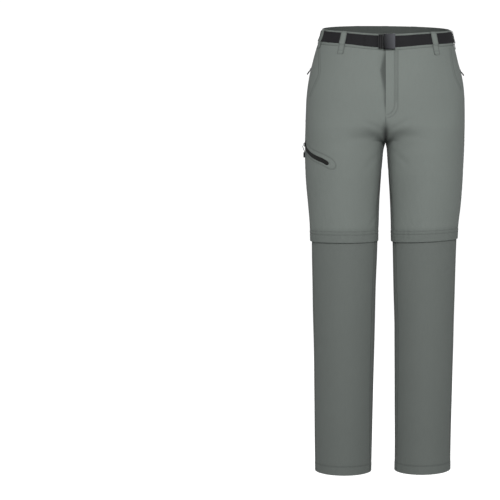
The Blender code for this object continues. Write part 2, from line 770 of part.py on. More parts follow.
def make_ring_guide(name, frame, look):
    width, length = RING_OPENING
    outline = ring_outline(width / 2, PIN_WALL / 2, PIN_WALL / 2 + length)
    return prism(name, outline, -GUIDE_DEPTH, GUIDE_DEPTH, frame, look)


def make_hand_pull(name, pin):
    """A flat ring round the slider's bridge that runs on as a thicker tab."""
    frame = pull_frame(pin, HAND_PULL_ANGLE)
    width, length = RING_OPENING
    half, base = width / 2 + RING_WALL, PIN_WALL / 2 + length
    outline = ring_outline(half, -PIN_WALL / 2, base + 1.4)
    look = (BLACK, 0.5)
    pull = prism(name, outline, -PIN_WALL / 2, PIN_WALL / 2, frame, look)
    combine(pull, make_ring_guide(name + "_opening_guide", frame, look), "DIFFERENCE")
    tip = HAND_PULL_LENGTH
    shape = [(-1.5, base + 0.5), (1.5, base + 0.5), (2.3, base + 2.5), (2.3, tip - 1.2), (1.3, tip)]
    shape += [(-1.3, tip), (-2.3, tip - 1.2), (-2.3, base + 2.5)]
    tab = prism(name + "_tab_guide", shape, -1.0, 1.0, frame, look)
    combine(pull, tab, "UNION")


def make_hand_pockets():
    for leg in ("right", "left"):
        heights = np.linspace(HAND_ZIP_TOP, HAND_ZIP_END, 8)
        stations = [(HAND_ZIP_FROM_SEAM, h, HAND_ZIP_WIDTH / 2, (1.0, 0.0)) for h in heights]
        zip_strip(f"hand_pocket_zip_{leg}", leg, stations)
        height = HAND_SLIDER[leg]
        place = front_place(SHORTS, leg, HAND_ZIP_FROM_SEAM, height)
        frame = cloth_frame(SHORTS, place, height, ZIP_RAISE + ZIP_WALL + SEAM_GAP)
        pin = make_slider(f"hand_pocket_slider_{leg}", frame)
        make_hand_pull(f"hand_pocket_pull_{leg}", pin)


def thigh_zip_stations():
    """The zip's centre line as a smooth curve through its points, with a round lower end."""
    knots = np.array(THIGH_ZIP, float)
    steps = np.linalg.norm(np.diff(knots, axis=0), axis=1)
    along = np.concatenate([[0.0], np.cumsum(steps)])
    tangents = np.gradient(knots, along, axis=0)
    radius = THIGH_ZIP_WIDTH / 2
    total = along[-1]
    body = np.linspace(0.0, total - radius, 16)
    cap = total - radius + radius * np.sin(np.radians((30, 55, 75)))
    stations = []
    for distance in np.concatenate([body, cap]):
        place = int(np.clip(np.searchsorted(along, distance) - 1, 0, len(steps) - 1))
        step = steps[place]
        t = (distance - along[place]) / step
        weights = (
            (1 + 2 * t) * (1 - t) ** 2, t * (1 - t) ** 2 * step,
            t * t * (3 - 2 * t), t * t * (t - 1) * step,
        )
        point = weights[0] * knots[place] + weights[1] * tangents[place]
        point = point + weights[2] * knots[place + 1] + weights[3] * tangents[place + 1]
        way = tangents[place] * (1 - t) + tangents[place + 1] * t
        way = way / np.linalg.norm(way)
        left_over = max(0.0, distance - (total - radius))
        half = math.sqrt(max(radius * radius - left_over * left_over, 0.8))
        seam_distance = THIGH_ZIP_SEAM_DISTANCE + point[0]
        stations.append((seam_distance, point[1], half, (-way[1], way[0])))
    return stations


def tube(name, path, radius, sides, look, origin):
    """A closed tube of a few sides along a path of points."""
    path = np.asarray(path, float)
    ways = np.gradient(path, axis=0)
    points, faces = [], []
    side = Vector((0.0, 1.0, 0.0))
    for centre, way in zip(path, ways):
        way = Vector(way).normalized()
        first = (side - way * side.dot(way)).normalized()
        second = way.cross(first)
        side = first
        for number in range(sides):
            angle = 2 * math.pi * number / sides
            spoke = first * math.cos(angle) + second * math.sin(angle)
            points.append(tuple(Vector(centre) + spoke * radius))
    for ring in range(len(path) - 1):
        for number in range(sides):
            after = (number + 1) % sides
            here, there = ring * sides, (ring + 1) * sides
            faces.append((here + number, here + after, there + after, there + number))
    faces.append(tuple(range(sides)))
    faces.append(tuple(range((len(path) - 1) * sides, len(path) * sides)))
    return new_object(name, points, faces, look, origin)


def make_thigh_pocket():
    zip_strip("thigh_pocket_zip", "right", thigh_zip_stations())
    place = front_place(SHORTS, "right", THIGH_ZIP_SEAM_DISTANCE, THIGH_SLIDER)
    frame = cloth_frame(SHORTS, place, THIGH_SLIDER, ZIP_RAISE + ZIP_WALL + SEAM_GAP)
    pin = make_slider("thigh_pocket_slider", frame)
    ring_frame = pull_frame(pin, THIGH_RING_ANGLE)
    width, length = RING_OPENING
    end = PIN_WALL / 2 + length + RING_RAIL
    outline = ring_outline(width / 2 + RING_WALL, -PIN_WALL / 2, end + RING_SLOT + RING_RAIL)
    look = (RING_METAL, 0.35, 0.9)
    ring = prism("thigh_pull_ring", outline, -PIN_WALL / 2, PIN_WALL / 2, ring_frame, look)
    combine(ring, make_ring_guide("thigh_ring_opening_guide", ring_frame, look), "DIFFERENCE")
    slot = ring_outline(width / 2, end, end + RING_SLOT)
    cut = prism("thigh_ring_slot_guide", slot, -GUIDE_DEPTH, GUIDE_DEPTH, ring_frame, look)
    combine(ring, cut, "DIFFERENCE")
    origin = tuple(ring_frame.translation)
    eye = ring_frame @ Vector((0.0, end + RING_SLOT / 2, 0.0))
    make_pull_cord(frame, eye, origin)


def make_pull_cord(frame, eye, origin):
    """A cord through the ring's slot, with both strands held in a moulded tip below."""
    out = frame.to_3x3() @ Vector((0, 0, 1))
    across = frame.to_3x3() @ Vector((1, 0, 0))
    up = Vector((0.0, 0.0, 1.0))
    surface_at = frame.translation - out * (ZIP_RAISE + ZIP_WALL + SEAM_GAP)
    tip_out = ZIP_RAISE + PULL_TIP_CLEARANCE + PULL_TIP_SIZE[2] / 2
    tip_top = surface_at + out * tip_out - up * (SLIDER_LENGTH / 2 + PULL_CORD_DROP)
    at_eye, above, below = PULL_CORD_SPREAD
    strands = []
    for side in (1, -1):
        strand = []
        for share in np.linspace(0.0, 1.0, 6):
            sideways = above + (below - above) * float(smoothstep(share)) if share > 0 else at_eye
            strand.append(eye.lerp(tip_top, float(share)) + across * sideways * side)
        strands.append(strand)
    route = [*reversed(strands[0]), eye + up * PULL_CORD_ARCH, *strands[1]]
    tube("thigh_pull_cord", route, PULL_CORD_RADIUS, 6, (BLACK, 0.7), origin)
    tip_frame = Matrix((across, -up, out)).transposed().to_4x4()
    tip_frame.translation = tip_top - up * (SEAM_GAP + PULL_TIP_SIZE[1] / 2)
    look = (BLACK, 0.5)
    box("thigh_pull_tip", PULL_TIP_SIZE, (0, 0, 0), tip_frame, look, PULL_TIP_BEVEL, origin)


def make_knee_zips():
    columns = {"front": FRONT_COLUMNS, "back": BACK_COLUMNS}
    heights = (KNEE_ZIP_TOP, LOWER_TOP + 1.0, KNEE_ZIP_END)
    for leg, numbers in (("left", (0, 1)), ("right", (2, 3))):
        grids = []
        for extra in (0.0, KNEE_ZIP_WALL):
            rows = []
            for height in heights:
                ring = []
                for number in numbers:
                    # The upper edge is sewn inside the shorts, and the rest hangs inside the leg's top.
                    table, inside = (SHORTS, SEAM_GAP) if height == KNEE_ZIP_TOP else (LEGS, KNEE_ZIP_GAP)
                    places = panel_places(table, number, height, columns[QUARTERS[number][1]])
                    ring.append(cloth(table, places[:-1], height, -PANEL_WALL - inside - extra))
                rows.append(np.concatenate(ring))
            grids.append(np.array(rows))
        wall(f"knee_zip_{leg}", grids[0], grids[1], (BLACK, 0.6), closed=True)


def main():
    for item in list(bpy.data.objects):
        bpy.data.objects.remove(item, do_unlink=True)
    make_panels()
    make_waistband()
    make_loops()
    make_belt()
    make_buckle()
    make_fly()
    make_hand_pockets()
    make_thigh_pocket()
    make_knee_zips()


main()
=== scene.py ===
# Filled-out zip-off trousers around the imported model: +Z up, front towards -Y, wearer's left towards +X.
# Points are worked out in millimetres and become metres when a mesh is made.
import math
import bpy
import numpy as np
from mathutils import Matrix, Vector


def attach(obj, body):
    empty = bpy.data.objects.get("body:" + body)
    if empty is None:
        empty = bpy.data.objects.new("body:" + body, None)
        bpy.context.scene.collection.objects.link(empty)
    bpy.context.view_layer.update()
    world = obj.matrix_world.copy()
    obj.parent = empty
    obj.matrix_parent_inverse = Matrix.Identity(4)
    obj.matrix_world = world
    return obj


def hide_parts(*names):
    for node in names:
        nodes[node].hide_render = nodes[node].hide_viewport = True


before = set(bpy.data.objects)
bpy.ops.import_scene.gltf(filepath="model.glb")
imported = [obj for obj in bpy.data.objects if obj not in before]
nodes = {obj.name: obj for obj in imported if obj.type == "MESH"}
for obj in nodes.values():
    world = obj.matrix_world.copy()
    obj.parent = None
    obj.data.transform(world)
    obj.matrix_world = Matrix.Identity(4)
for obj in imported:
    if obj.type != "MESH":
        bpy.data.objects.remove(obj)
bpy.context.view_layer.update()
print("frame loaded:", len(nodes), "nodes")

# Camera: where the photograph was taken from. Yaw, pitch and roll are in radians, the lens in mm.
view = {"place": (-0.0146, -3.39, -0.3237), "yaw": -0.09134, "pitch": 0.05418, "roll": 0.00491, "lens": 101.84,
        "clip": (0.1, 60.0)}


def makeCamera(settings):
    # Forward is turned by the yaw and tipped down by the pitch; right and up are then rolled about it.
    yaw, pitch, roll = settings["yaw"], settings["pitch"], settings["roll"]
    forward = Vector((math.sin(yaw) * math.cos(pitch), math.cos(yaw) * math.cos(pitch), -math.sin(pitch)))
    level = Vector((math.cos(yaw), -math.sin(yaw), 0.0))
    upright = level.cross(forward)
    right = level * math.cos(roll) - upright * math.sin(roll)
    up = level * math.sin(roll) + upright * math.cos(roll)
    data = bpy.data.cameras.new("camera")
    data.lens = settings["lens"]
    data.clip_start, data.clip_end = settings["clip"]
    item = bpy.data.objects.new("camera", data)
    bpy.context.scene.collection.objects.link(item)
    item.matrix_world = Matrix.Translation(settings["place"]) @ Matrix((right, up, -forward)).transposed().to_4x4()
    bpy.context.scene.camera = item


makeCamera(view)

# Sums that several pieces share


def smoothStep(value):
    # 0 below 0 and 1 above 1; between them three squares less two cubes.
    limited = np.clip(value, 0.0, 1.0)
    return limited * limited * (3.0 - 2.0 * limited)


def bell(distance, width):
    # 1 at no distance, falling off both ways.
    return np.exp(-np.square(distance / width))


def sway(along, turns):
    # A sine whose phase sways with a slower sine, so that its crests aren't alike.
    fast, amount, slow = turns
    return np.sin(along * fast + amount * np.sin(along * slow))


def mixed(first, second, share):
    # The first at share 0, the second at share 1.
    return first + (second - first) * share


def unit(vectors):
    # The same ways, each with length 1.
    return vectors / np.linalg.norm(vectors, axis=-1)[..., None]


def raised(points, normals, lift):
    # Points moved along their normals.
    return points + normals * lift[..., None]


def runLengths(points, axis=0):
    # How long the way is to each point, along one axis of an array of points.
    steps = np.linalg.norm(np.diff(points, axis=axis), axis=-1)
    return np.concatenate([np.zeros_like(np.take(steps, [0], axis=axis)), np.cumsum(steps, axis=axis)], axis=axis)


def readAt(wanted, known, values):
    # Rows of values in between the known ones, on straight lines.
    return np.stack([np.interp(wanted, known, part) for part in values.T], axis=1)


def cubicBetween(t, step, first, firstSlope, last, lastSlope):
    # The cubic over one step that has the given values and slopes at its two ends.
    start = (1 + 2 * t) * (1 - t) ** 2 * first + t * (1 - t) ** 2 * step * firstSlope
    return start + t * t * (3 - 2 * t) * last + t * t * (t - 1) * step * lastSlope


def smoothPath(points, count, fineCount=400):
    # A curve through points, at equal steps: cubic between them, each with the mean slope of its neighbours.
    knots = np.array(points, float)
    along = runLengths(knots)
    steps = np.diff(along)
    slopes = np.gradient(knots, along, axis=0)
    fine = np.linspace(0.0, along[-1], fineCount)
    k = np.clip(np.searchsorted(along, fine) - 1, 0, len(steps) - 1)
    t, step = ((fine - along[k]) / steps[k])[:, None], steps[k][:, None]
    curve = cubicBetween(t, step, knots[k], slopes[k], knots[k + 1], slopes[k + 1])
    length = runLengths(curve)
    return readAt(np.linspace(0.0, length[-1], count), length, curve)


# The body of the cloth: sections at heights, each with the reach of the sides, insides, front and back
shorts = {
    "height": [17, 0, -18, -36, -60, -90, -120, -150, -180, -215, -251, -256, -271, -300, -350, -400, -450, -490],
    "rightSide": [149.8, 153.8, 161.2, 167.0, 173.6, 180.8, 185.8, 188.8, 190.8, 192.4, 192.5, 192.5, 192.4,
                  191.9, 189.2, 185.0, 181.3, 179.8],
    "rightInside": [0, 0, 0, 0, 0, 0, 0, 0, 0, 0, 0, 2.4, 6.0, 8.5, 12.0, 14.5, 15.5, 16.6],
    "leftInside": [0, 0, 0, 0, 0, 0, 0, 0, 0, 0, 0, 1.6, 3.6, 5.2, 8.4, 10.9, 12.2, 13.0],
    "leftSide": [152.3, 156.3, 160.8, 165.3, 170.8, 178.3, 182.9, 185.3, 186.9, 188.0, 187.4, 187.1, 186.4,
                 184.6, 181.4, 177.3, 171.9, 169.9],
    "front": [-100, -103, -105, -107, -110, -113, -115, -116, -116, -114, -107.5, -106.7, -104, -99.5, -92,
              -86, -80, -76],
    "back": [104, 108, 112, 117, 124, 132, 139, 145, 148, 145, 127, 125, 119, 111, 101, 93, 87, 83],
    "middle": [0, 0, 0, 1, 2, 3, 4, 5, 6, 8, 10, 10, 10, 9, 8, 7, 6, 5],
}
legs = {
    "height": [-470, -520, -600, -700, -800, -920, -1038],
    "rightSide": [176.6, 175.8, 174.0, 173.6, 172.9, 170.6, 170.0],
    "rightInside": [17.6, 19.2, 23.0, 26.0, 28.4, 30.8, 34.3],
    "leftInside": [16.0, 17.2, 19.1, 21.8, 21.9, 21.0, 20.8],
    "leftSide": [167.8, 167.0, 166.3, 163.0, 159.4, 157.0, 155.0],
    "front": [-72.5, -71, -68, -64, -62, -61, -62],
    "back": [79.5, 79, 82, 84, 83, 80, 79],
    "middle": [5, 5, 7, 9, 10, 10, 10],
}
seamTurns = {
    "height": [17, -100, -190, -251, -350, -490, -700, -1038],
    "side": [-11, -14, -10, -4, 8, 16, 20, 20],
    "inside": [0, 0, 0, 0, 14, 25, 28, 22],
}
flyDips = {
    "height": [17, -18, -45, -75, -110, -150, -180, -200],
    "depth": [3.0, 3.2, 6.0, 5.6, 4.6, 3.2, 1.4, 0.0],
}
form = {
    "crotch": -251.0, "waistTop": 17.0, "waistSeam": -18.0, "flapEdge": -490.0, "lowerTop": -474.0,
    "hem": {"right": -1041.5, "left": -1036.8}, "hemRoll": {"right": 0.0, "left": 0.03}, "hemRollStart": -940.0,
    "climb": 0.182, "roll": -0.025, "drop": 2.2, "tiltFull": -36.0, "tiltNone": -150.0,
    "sag": -3.0, "sagRise": 6.4, "sagSpan": 112.0, "sagDepth": 45.0, "sagLost": 0.4, "sagLostFrom": 6.0,
    "sagLostOver": 11.0,
    "flapLift": {"right": 4.0, "left": 6.4}, "flapRoll": {"right": 0.0, "left": 0.043}, "flapClimb": 0.028,
    "flapFrom": -400.0,
    "hipPower": 2.0 / 2.3, "sideLegStart": -140.0,
    "archStart": {"front": -206.0, "back": -135.0}, "legStart": {"front": -168.0, "back": -115.0},
    "webPower": {"front": 5, "back": 2}, "innerFront": 0.6, "innerFrontSpan": 170.0, "seamGap": 0.3, "wall": 1.2,
    "bridge": 34.0, "bridgeFrom": 0.05, "bridgeOver": 0.15,
    "softenFrom": -150.0, "softenTo": -330.0, "softenBeside": 0.08, "softenRounds": 150,
    "dipWidth": 24.0, "underlap": 5.0, "underlapFull": -135.0, "underlapNone": -162.0, "underlapWidth": 10.0,
}
baseGrid = {"across": 161, "columns": 121, "upperStep": 2.5, "archTurn": 1.5, "belowArch": (-252.0, -253.5, -255.5),
            "lowerFrom": -258.0, "lowerStep": 2.6, "legs": (-470.0, -1044.0, 144)}
quarters = (("left", "front"), ("left", "back"), ("right", "back"), ("right", "front"))


def column(table, name, heights):
    # A cubic between a table's rows, with each row's slope the harmonic mean of its neighbours' rises.
    order = np.argsort(table["height"])
    known, values = (np.array(table[key], float)[order] for key in ("height", name))
    steps = np.diff(known)
    rises = np.diff(values) / steps
    product, total = rises[:-1] * rises[1:], rises[:-1] + rises[1:]
    inner = np.where(product > 0, 2.0 * product / np.where(total == 0, 1.0, total), 0.0)
    slopes = np.concatenate([[rises[0]], inner, [rises[-1]]])
    heights = np.clip(heights, known[0], known[-1])
    k = np.clip(np.searchsorted(known, heights) - 1, 0, len(steps) - 1)
    return cubicBetween((heights - known[k]) / steps[k], steps[k], values[k], slopes[k], values[k + 1], slopes[k + 1])


def quarterLines(table, leg, half, heights):
    # One panel's width at each height: an ellipse of a hip, turning into the ellipse of one leg. The centre
    # seam runs in along a quarter ellipse to the crotch, so the leg's part starts where that seam is.
    high, u = heights[:, None], np.linspace(0.0, 1.0, baseGrid["across"])[None, :]
    side, inside, front, back, middle = (
        column(table, name, high) for name in (leg + "Side", leg + "Inside", "front", "back", "middle"))
    sideTurn, insideTurn = (column(seamTurns, name, high) for name in ("side", "inside"))
    crotch, archStart, power = form["crotch"], form["archStart"][half], form["hipPower"]

    def legShare(start):
        # Nothing at the start, all at the crotch.
        return smoothStep((start - high) / (start - crotch))

    own = legShare(form["legStart"][half])
    t = np.clip((archStart - high) / (archStart - crotch), 0.0, 1.0)
    arch = 1.0 - np.sqrt(1.0 - t * t)
    seam = np.degrees(np.arcsin(np.clip(1.0 - arch / np.maximum(own, 1e-9), 0.0, 1.0)))
    seam = np.where(own > 0, seam, 90.0)
    if half == "front":
        start = insideTurn + seam
        hipAngle, legAngle = u * (90 - sideTurn), start + u * (180 - sideTurn - start)
    else:
        start = insideTurn - seam
        hipAngle, legAngle = 180 - u * (90 + sideTurn), 360 + start - u * (180 + start + sideTurn)
    sine, cosine = np.abs(np.sin(np.radians(hipAngle))), np.cos(np.radians(hipAngle))
    hipX = side * sine ** power
    hipY = middle + np.where(cosine >= 0, front - middle, back - middle) * np.abs(cosine) ** power
    sine = np.sin(np.radians(legAngle))
    legX = (inside + side) / 2 - (side - inside) / 2 * np.cos(np.radians(legAngle))
    blunt = mixed(form["innerFront"], 1.0, smoothStep((crotch - high) / form["innerFrontSpan"]))
    blunt = np.where((sine >= 0) & (legAngle < 90.0), blunt, 1.0)  # a flatter front beside the inseam
    legY = middle + np.where(sine >= 0, front - middle, back - middle) * np.abs(sine) ** blunt
    legX = np.where(high >= crotch, legX - legX[:, :1] * (1.0 - u) ** form["webPower"][half], legX)
    share = mixed(own, legShare(form["sideLegStart"]), smoothStep(u))
    across, y = mixed(hipX, legX, share), mixed(hipY, legY, share)
    x = across if leg == "left" else -across
    outward = across - (side + inside) / 2
    tilt = smoothStep((high - form["tiltNone"]) / (form["tiltFull"] - form["tiltNone"]))
    sag = form["sag"] + form["sagRise"] * smoothStep(np.abs(x) / form["sagSpan"])
    sag = sag * (1.0 - form["sagLost"] * smoothStep((high - form["sagLostFrom"]) / form["sagLostOver"]))
    lean = form["climb"] * y + form["roll"] * x - form["drop"] + sag * smoothStep(-y / form["sagDepth"])
    z = high + tilt * lean
    if table is shorts:
        share = smoothStep((form["flapFrom"] - high) / (form["flapFrom"] - form["flapEdge"]))
        z = z + share * (form["flapLift"][leg] + form["flapRoll"][leg] * outward + form["flapClimb"] * (y - middle))
    else:
        share = smoothStep((form["hemRollStart"] - high) / (form["hemRollStart"] - form["hem"][leg]))
        z = z + form["hemRoll"][leg] * share * outward
    return np.stack([x, y, z], axis=2)


def evenColumns(lines, count):
    # The same lines with points at equal steps along them, and each line's length.
    along = runLengths(lines, axis=1)
    length = along[:, -1]
    rows = 2.0 * np.arange(len(lines))[:, None]
    known = (rows + along / length[:, None]).ravel()
    wanted = (rows + np.linspace(0.0, 1.0, count)[None, :]).ravel()
    return readAt(wanted, known, lines.reshape(-1, 3)).reshape(len(lines), count, 3), length


def softened(points, weights, rounds):
    # Each point moves half way to the chord between its neighbours above and below, then beside it.
    points = points.copy()
    for _ in range(rounds):
        for axis in (0, 1):
            grid = np.moveaxis(points, axis, 0)
            before, after = (np.linalg.norm(gap, axis=2)[..., None] + 1e-6
                             for gap in (grid[1:-1] - grid[:-2], grid[2:] - grid[1:-1]))
            chord = (grid[:-2] * after + grid[2:] * before) / (before + after)
            grid[1:-1] += 0.5 * np.moveaxis(weights, axis, 0)[1:-1] * (chord - grid[1:-1])
    return points


def bridged(points, heights, across):
    # Past the crotch's row each column runs on a cubic, so that the thigh flows on from the hip.
    first = np.nonzero(heights >= form["crotch"] + form["bridge"])[0][-1]
    last = np.nonzero(heights <= form["crotch"] - form["bridge"])[0][0]
    whole = heights[last] - heights[first]
    t = ((heights[first:last + 1] - heights[first]) / whole)[:, None, None]
    start, end = ((points[k + 1] - points[k]) / (heights[k + 1] - heights[k]) for k in (first - 1, last))
    cubic = cubicBetween(t, whole, points[first], start, points[last], end)
    weight = smoothStep((across - form["bridgeFrom"]) / form["bridgeOver"]) * (across < 1.0)
    bridge = points.copy()
    bridge[first:last + 1] += weight * (cubic - points[first:last + 1])
    return bridge


def clothRows():
    # The shorts' rows: even ones, then closer along the centre seam's arch to the crotch, then even again.
    top, crotch = form["archStart"]["back"], form["crotch"]
    upper = np.arange(form["waistTop"], top, -baseGrid["upperStep"])
    arch = top - (top - crotch) * np.sin(np.radians(np.arange(0.0, 90.1, baseGrid["archTurn"])))
    arch[-1] = crotch
    lower = np.arange(baseGrid["lowerFrom"], form["flapEdge"], -baseGrid["lowerStep"])
    return np.concatenate([upper, arch, baseGrid["belowArch"], lower, [form["flapEdge"]]])


def makeBase(table, heights):
    # Grids of points and outward normals for the four quarters round the body, in the order of places:
    # 0 centre front, 1 left side seam, 2 centre back, 3 right side seam, 4 centre front.
    grids, lengths, normals = [], [], []
    across = np.linspace(0.0, 1.0, baseGrid["columns"])[None, :, None]
    near = (heights - form["softenTo"]) / (form["softenFrom"] - form["softenTo"])
    weights = np.clip(4.0 * near * (1.0 - near), 0.0, 1.0)[:, None, None]
    weights = weights * smoothStep(across / form["softenBeside"]) * (across < 1.0)
    for number, (leg, half) in enumerate(quarters):
        points, length = evenColumns(quarterLines(table, leg, half, heights), baseGrid["columns"])
        if table is shorts:
            points = bridged(softened(points, weights, form["softenRounds"]), heights, across)
        grids.append(points[:, ::-1] if number in (1, 3) else points)
        lengths.append(length)
    whole = heights >= form["crotch"]
    for number in range(4):
        before, after, other = grids[(number - 1) % 4], grids[(number + 1) % 4], grids[number ^ 1]
        left = np.where(whole[:, None], before[:, -2], other[:, -2])
        right = np.where(whole[:, None], after[:, 1], other[:, 1])
        padded = np.concatenate([left[:, None], grids[number], right[:, None]], axis=1)
        normals.append(unit(np.cross(np.gradient(grids[number], axis=0), padded[:, 2:] - padded[:, :-2])))
    seams = [(k, (k + 1) % 4, -1, 0, whole if k % 2 else np.ones_like(whole)) for k in range(4)]
    seams += [(k, k + 1, 0, -1, ~whole) for k in (0, 2)]
    for first, second, end, start, rows in seams:
        joined = unit(normals[first][rows, end] + normals[second][rows, start])
        normals[first][rows, end] = normals[second][rows, start] = joined
    values = np.concatenate([np.array(grids), np.array(normals)], axis=3)
    return {"heights": heights, "values": values, "lengths": np.array(lengths)}


bases = {"shorts": makeBase(shorts, clothRows()), "legs": makeBase(legs, np.linspace(*baseGrid["legs"]))}
print("cloth surface worked out")


def quarterOf(places):
    # The number of the quarter that a place is on, and the share of that quarter before it.
    wrapped = np.where((places < 0) | (places > 4), np.mod(places, 4.0), places)
    number = np.minimum(wrapped.astype(int), 3)
    return number, wrapped - number


def clothAt(kind, places, heights):
    # Points and normals at any places and heights, mixed between the base grid's four nearest points.
    base = bases[kind]
    v = base["values"]
    places, heights = np.broadcast_arrays(np.asarray(places, float), np.asarray(heights, float))
    number, share = quarterOf(places)
    c = share * (baseGrid["columns"] - 1)
    c0 = np.minimum(c.astype(int), baseGrid["columns"] - 2)
    r = np.interp(-heights, -base["heights"], np.arange(len(base["heights"])))
    r0 = np.minimum(r.astype(int), len(base["heights"]) - 2)
    s, t = (c - c0)[..., None], (r - r0)[..., None]
    upper, lower = (mixed(v[number, row, c0], v[number, row, c0 + 1], s) for row in (r0, r0 + 1))
    both = mixed(upper, lower, t)
    return both[..., :3], unit(both[..., 3:])


def lengthAt(kind, number, heights):
    # How wide a quarter's cloth is at each height.
    return np.interp(-np.asarray(heights, float), -bases[kind]["heights"], bases[kind]["lengths"][number])


waistLengths = [float(lengthAt("shorts", number, 0.0)) for number in range(4)]


def frontPlace(leg, distance, heights):
    # The place on a front quarter that lies a distance forward of its side seam.
    if leg == "left":
        return 1.0 - distance / lengthAt("shorts", 0, heights)
    return 3.0 + distance / lengthAt("shorts", 3, heights)


def waistPlace(distance):
    # The place at the waist that lies a distance to the wearer's left of the centre front.
    return distance / waistLengths[0 if distance >= 0 else 3]


def dipRightFront(points, heights):
    # The right front sinks towards the fly, and its last part runs on under the left front.
    reach = np.abs(points[..., 0])
    span = form["underlapFull"] - form["underlapNone"]
    underlap = form["underlap"] * smoothStep((heights - form["underlapNone"]) / span)
    moved = points.copy()
    moved[..., 1] += column(flyDips, "depth", heights) * smoothStep(1.0 - reach / form["dipWidth"])
    moved[..., 0] += underlap * smoothStep(1.0 - reach / form["underlapWidth"])
    return moved


# Stitched lines and folds, given on the cloth. Fly lines are distances from the centre front.
fly = {
    "lines": (20.2, 27.9), "curveFrom": -168.0, "ends": (-191.0, -198.5), "top": -20.0, "curveTurn": 84.0,
    "points": (20, 14), "seamFrom": -190.0, "seamOver": 15.0, "bandShade": 0.35, "bandOver": 12.0,
    "stripShade": 1.1, "stripBlend": 6.5, "stripLeast": 3.0,
    "strip": ((-200.0, -152.0, -125.0, -68.0, -31.0, -20.0), (0.0, 3.6, 6.5, 12.5, 6.2, 4.0)),
    "lap": 0.5, "lapEdge": 32.0, "lapBlend": 6.0, "lapEnd": -196.0, "lapOver": 20.0,
}
crotchShade = {"amount": ((-470.0, -400.0, -300.0, -251.0, -225.0, -200.0), (0.5, 0.8, 1.6, 2.2, 1.5, 0.0)),
               "width": 7.0}
handPocket = {
    "right": ((-157.0, -24), (-156.8, -60), (-157.4, -95), (-165.2, -113), (-171.6, -128), (-177.8, -143)),
    "left": ((150.7, -26), (154.5, -50), (157.9, -73), (160.6, -90), (166.8, -107), (175.4, -128)),
    "linePoints": 40, "secondRow": 6.0, "zipFromSeam": 7.5, "zipWidth": 8.0, "zipTop": -60.0, "zipEnd": -200.0,
    "weltPast": 3.0, "weltOver": 4.0, "search": (0.02, 0.98, 200),
}
thighPocket = {
    "points": ((0.0, -246.0), (0.5, -256.0), (6.0, -265.5), (18.0, -272.5), (36.0, -281.7), (57.0, -289.7),
               (71.0, -295.0), (80.0, -300.3), (84.3, -302.8)),
    "linePoints": 60, "fromSeam": 34.0, "width": 11.2, "stitchAbove": 17.0, "stitchBelow": 11.5, "roundEnd": 1.15,
    "roundPoints": 17, "leftOff": 14,
}
knee = {"rows": (-463.5, -471.5), "foldFrom": -461.5, "foldRaise": 0.5, "foldOver": 3.0, "flapShade": 0.4,
        "shadeAbove": 12.0, "shadeOver": 20.0, "pucker": 0.42, "puckerWidth": 13.0, "puckerTurns": (61.0, 1.7, 23.0),
        "puckerFade": (17.0, 0.6)}
hem = {"fold": 22.0, "row": 20.5, "raise": 0.4, "raiseOver": 2.5, "ripple": 0.22, "rippleTurns": (47.0, 1.3, 19.0),
       "rippleSpan": 40.0}
seamPucker = {"height": 0.16, "width": 9.0, "turns": (0.62, 2.0, 0.13)}
# Lines in the cloth: bank's height, distance and width, the sunk line's depth and width, and its painted shade's
# amount and width
lines = {
    "seam": (0.3, 4.5, 3.5, 0.75, 1.5, 1.0, 1.7),
    "fly": ((0.22, 2.6, 1.8, 0.32, 1.2, 0.6, 1.3), (0.22, 2.6, 1.8, 0.36, 1.2, 0.6, 1.3)),
    "side": ((0.2, 2.4, 1.8, 0.40, 1.2, 0.8, 1.4), (0.2, 2.4, 1.8, 0.22, 1.2, 0.44, 1.4)),
    "handZip": (0.9, 5.6, 1.6, 0.25, 3.4, 0.0, 1.0),
    "thighZip": (0.7, 7.2, 2.0, 0.2, 4.0, 0.0, 1.0),
    "thighPocket": (0.22, 2.4, 1.8, 0.36, 1.2, 0.75, 1.3),
    "knee": (0.0, 0.0, 1.0, 0.5, 1.3, 0.8, 1.4),
    "hem": (0.0, 0.0, 1.0, 0.45, 1.3, 0.7, 1.5),
    "waist": (0.0, 0.0, 1.0, 0.35, 2.0, 0.0, 1.0),
}


def flyPath(width, end):
    # Straight down beside the centre front, then a quarter ellipse in to it.
    down, along = fly["points"]
    angles = np.radians(np.linspace(0.0, fly["curveTurn"], along))
    straight = np.stack([np.full(down, width), np.linspace(fly["top"], fly["curveFrom"], down)], axis=1)
    curve = np.stack([width * np.cos(angles), mixed(fly["curveFrom"], end, np.sin(angles))], axis=1)
    return np.concatenate([straight, curve[1:]])


def sidePath(leg):
    # The hand pocket's stitching, from distances to the centre plane to distances forward of the side seam.
    number = 0 if leg == "left" else 3
    places = number + np.linspace(*handPocket["search"])
    path = []
    for x, height in handPocket[leg]:
        place = places[np.argmin(np.abs(clothAt("shorts", places, height)[0][:, 0] - x))]
        share = 1.0 - place if leg == "left" else place - 3.0
        path.append((share * lengthAt("shorts", number, height), height))
    return smoothPath(path, handPocket["linePoints"])


def offsetPath(path, distance):
    # The same path moved sideways, square to its way.
    ways = unit(np.gradient(path, axis=0))
    return path + np.stack([-ways[:, 1], ways[:, 0]], axis=1) * distance


zipLine = smoothPath(thighPocket["points"], thighPocket["linePoints"]) + np.array([thighPocket["fromSeam"], 0.0])
flyPaths = [flyPath(width, end) for width, end in zip(fly["lines"], fly["ends"])]
sidePaths = {leg: [sidePath(leg)] for leg in ("left", "right")}
for paths in sidePaths.values():
    paths.append(offsetPath(paths[0], handPocket["secondRow"]))


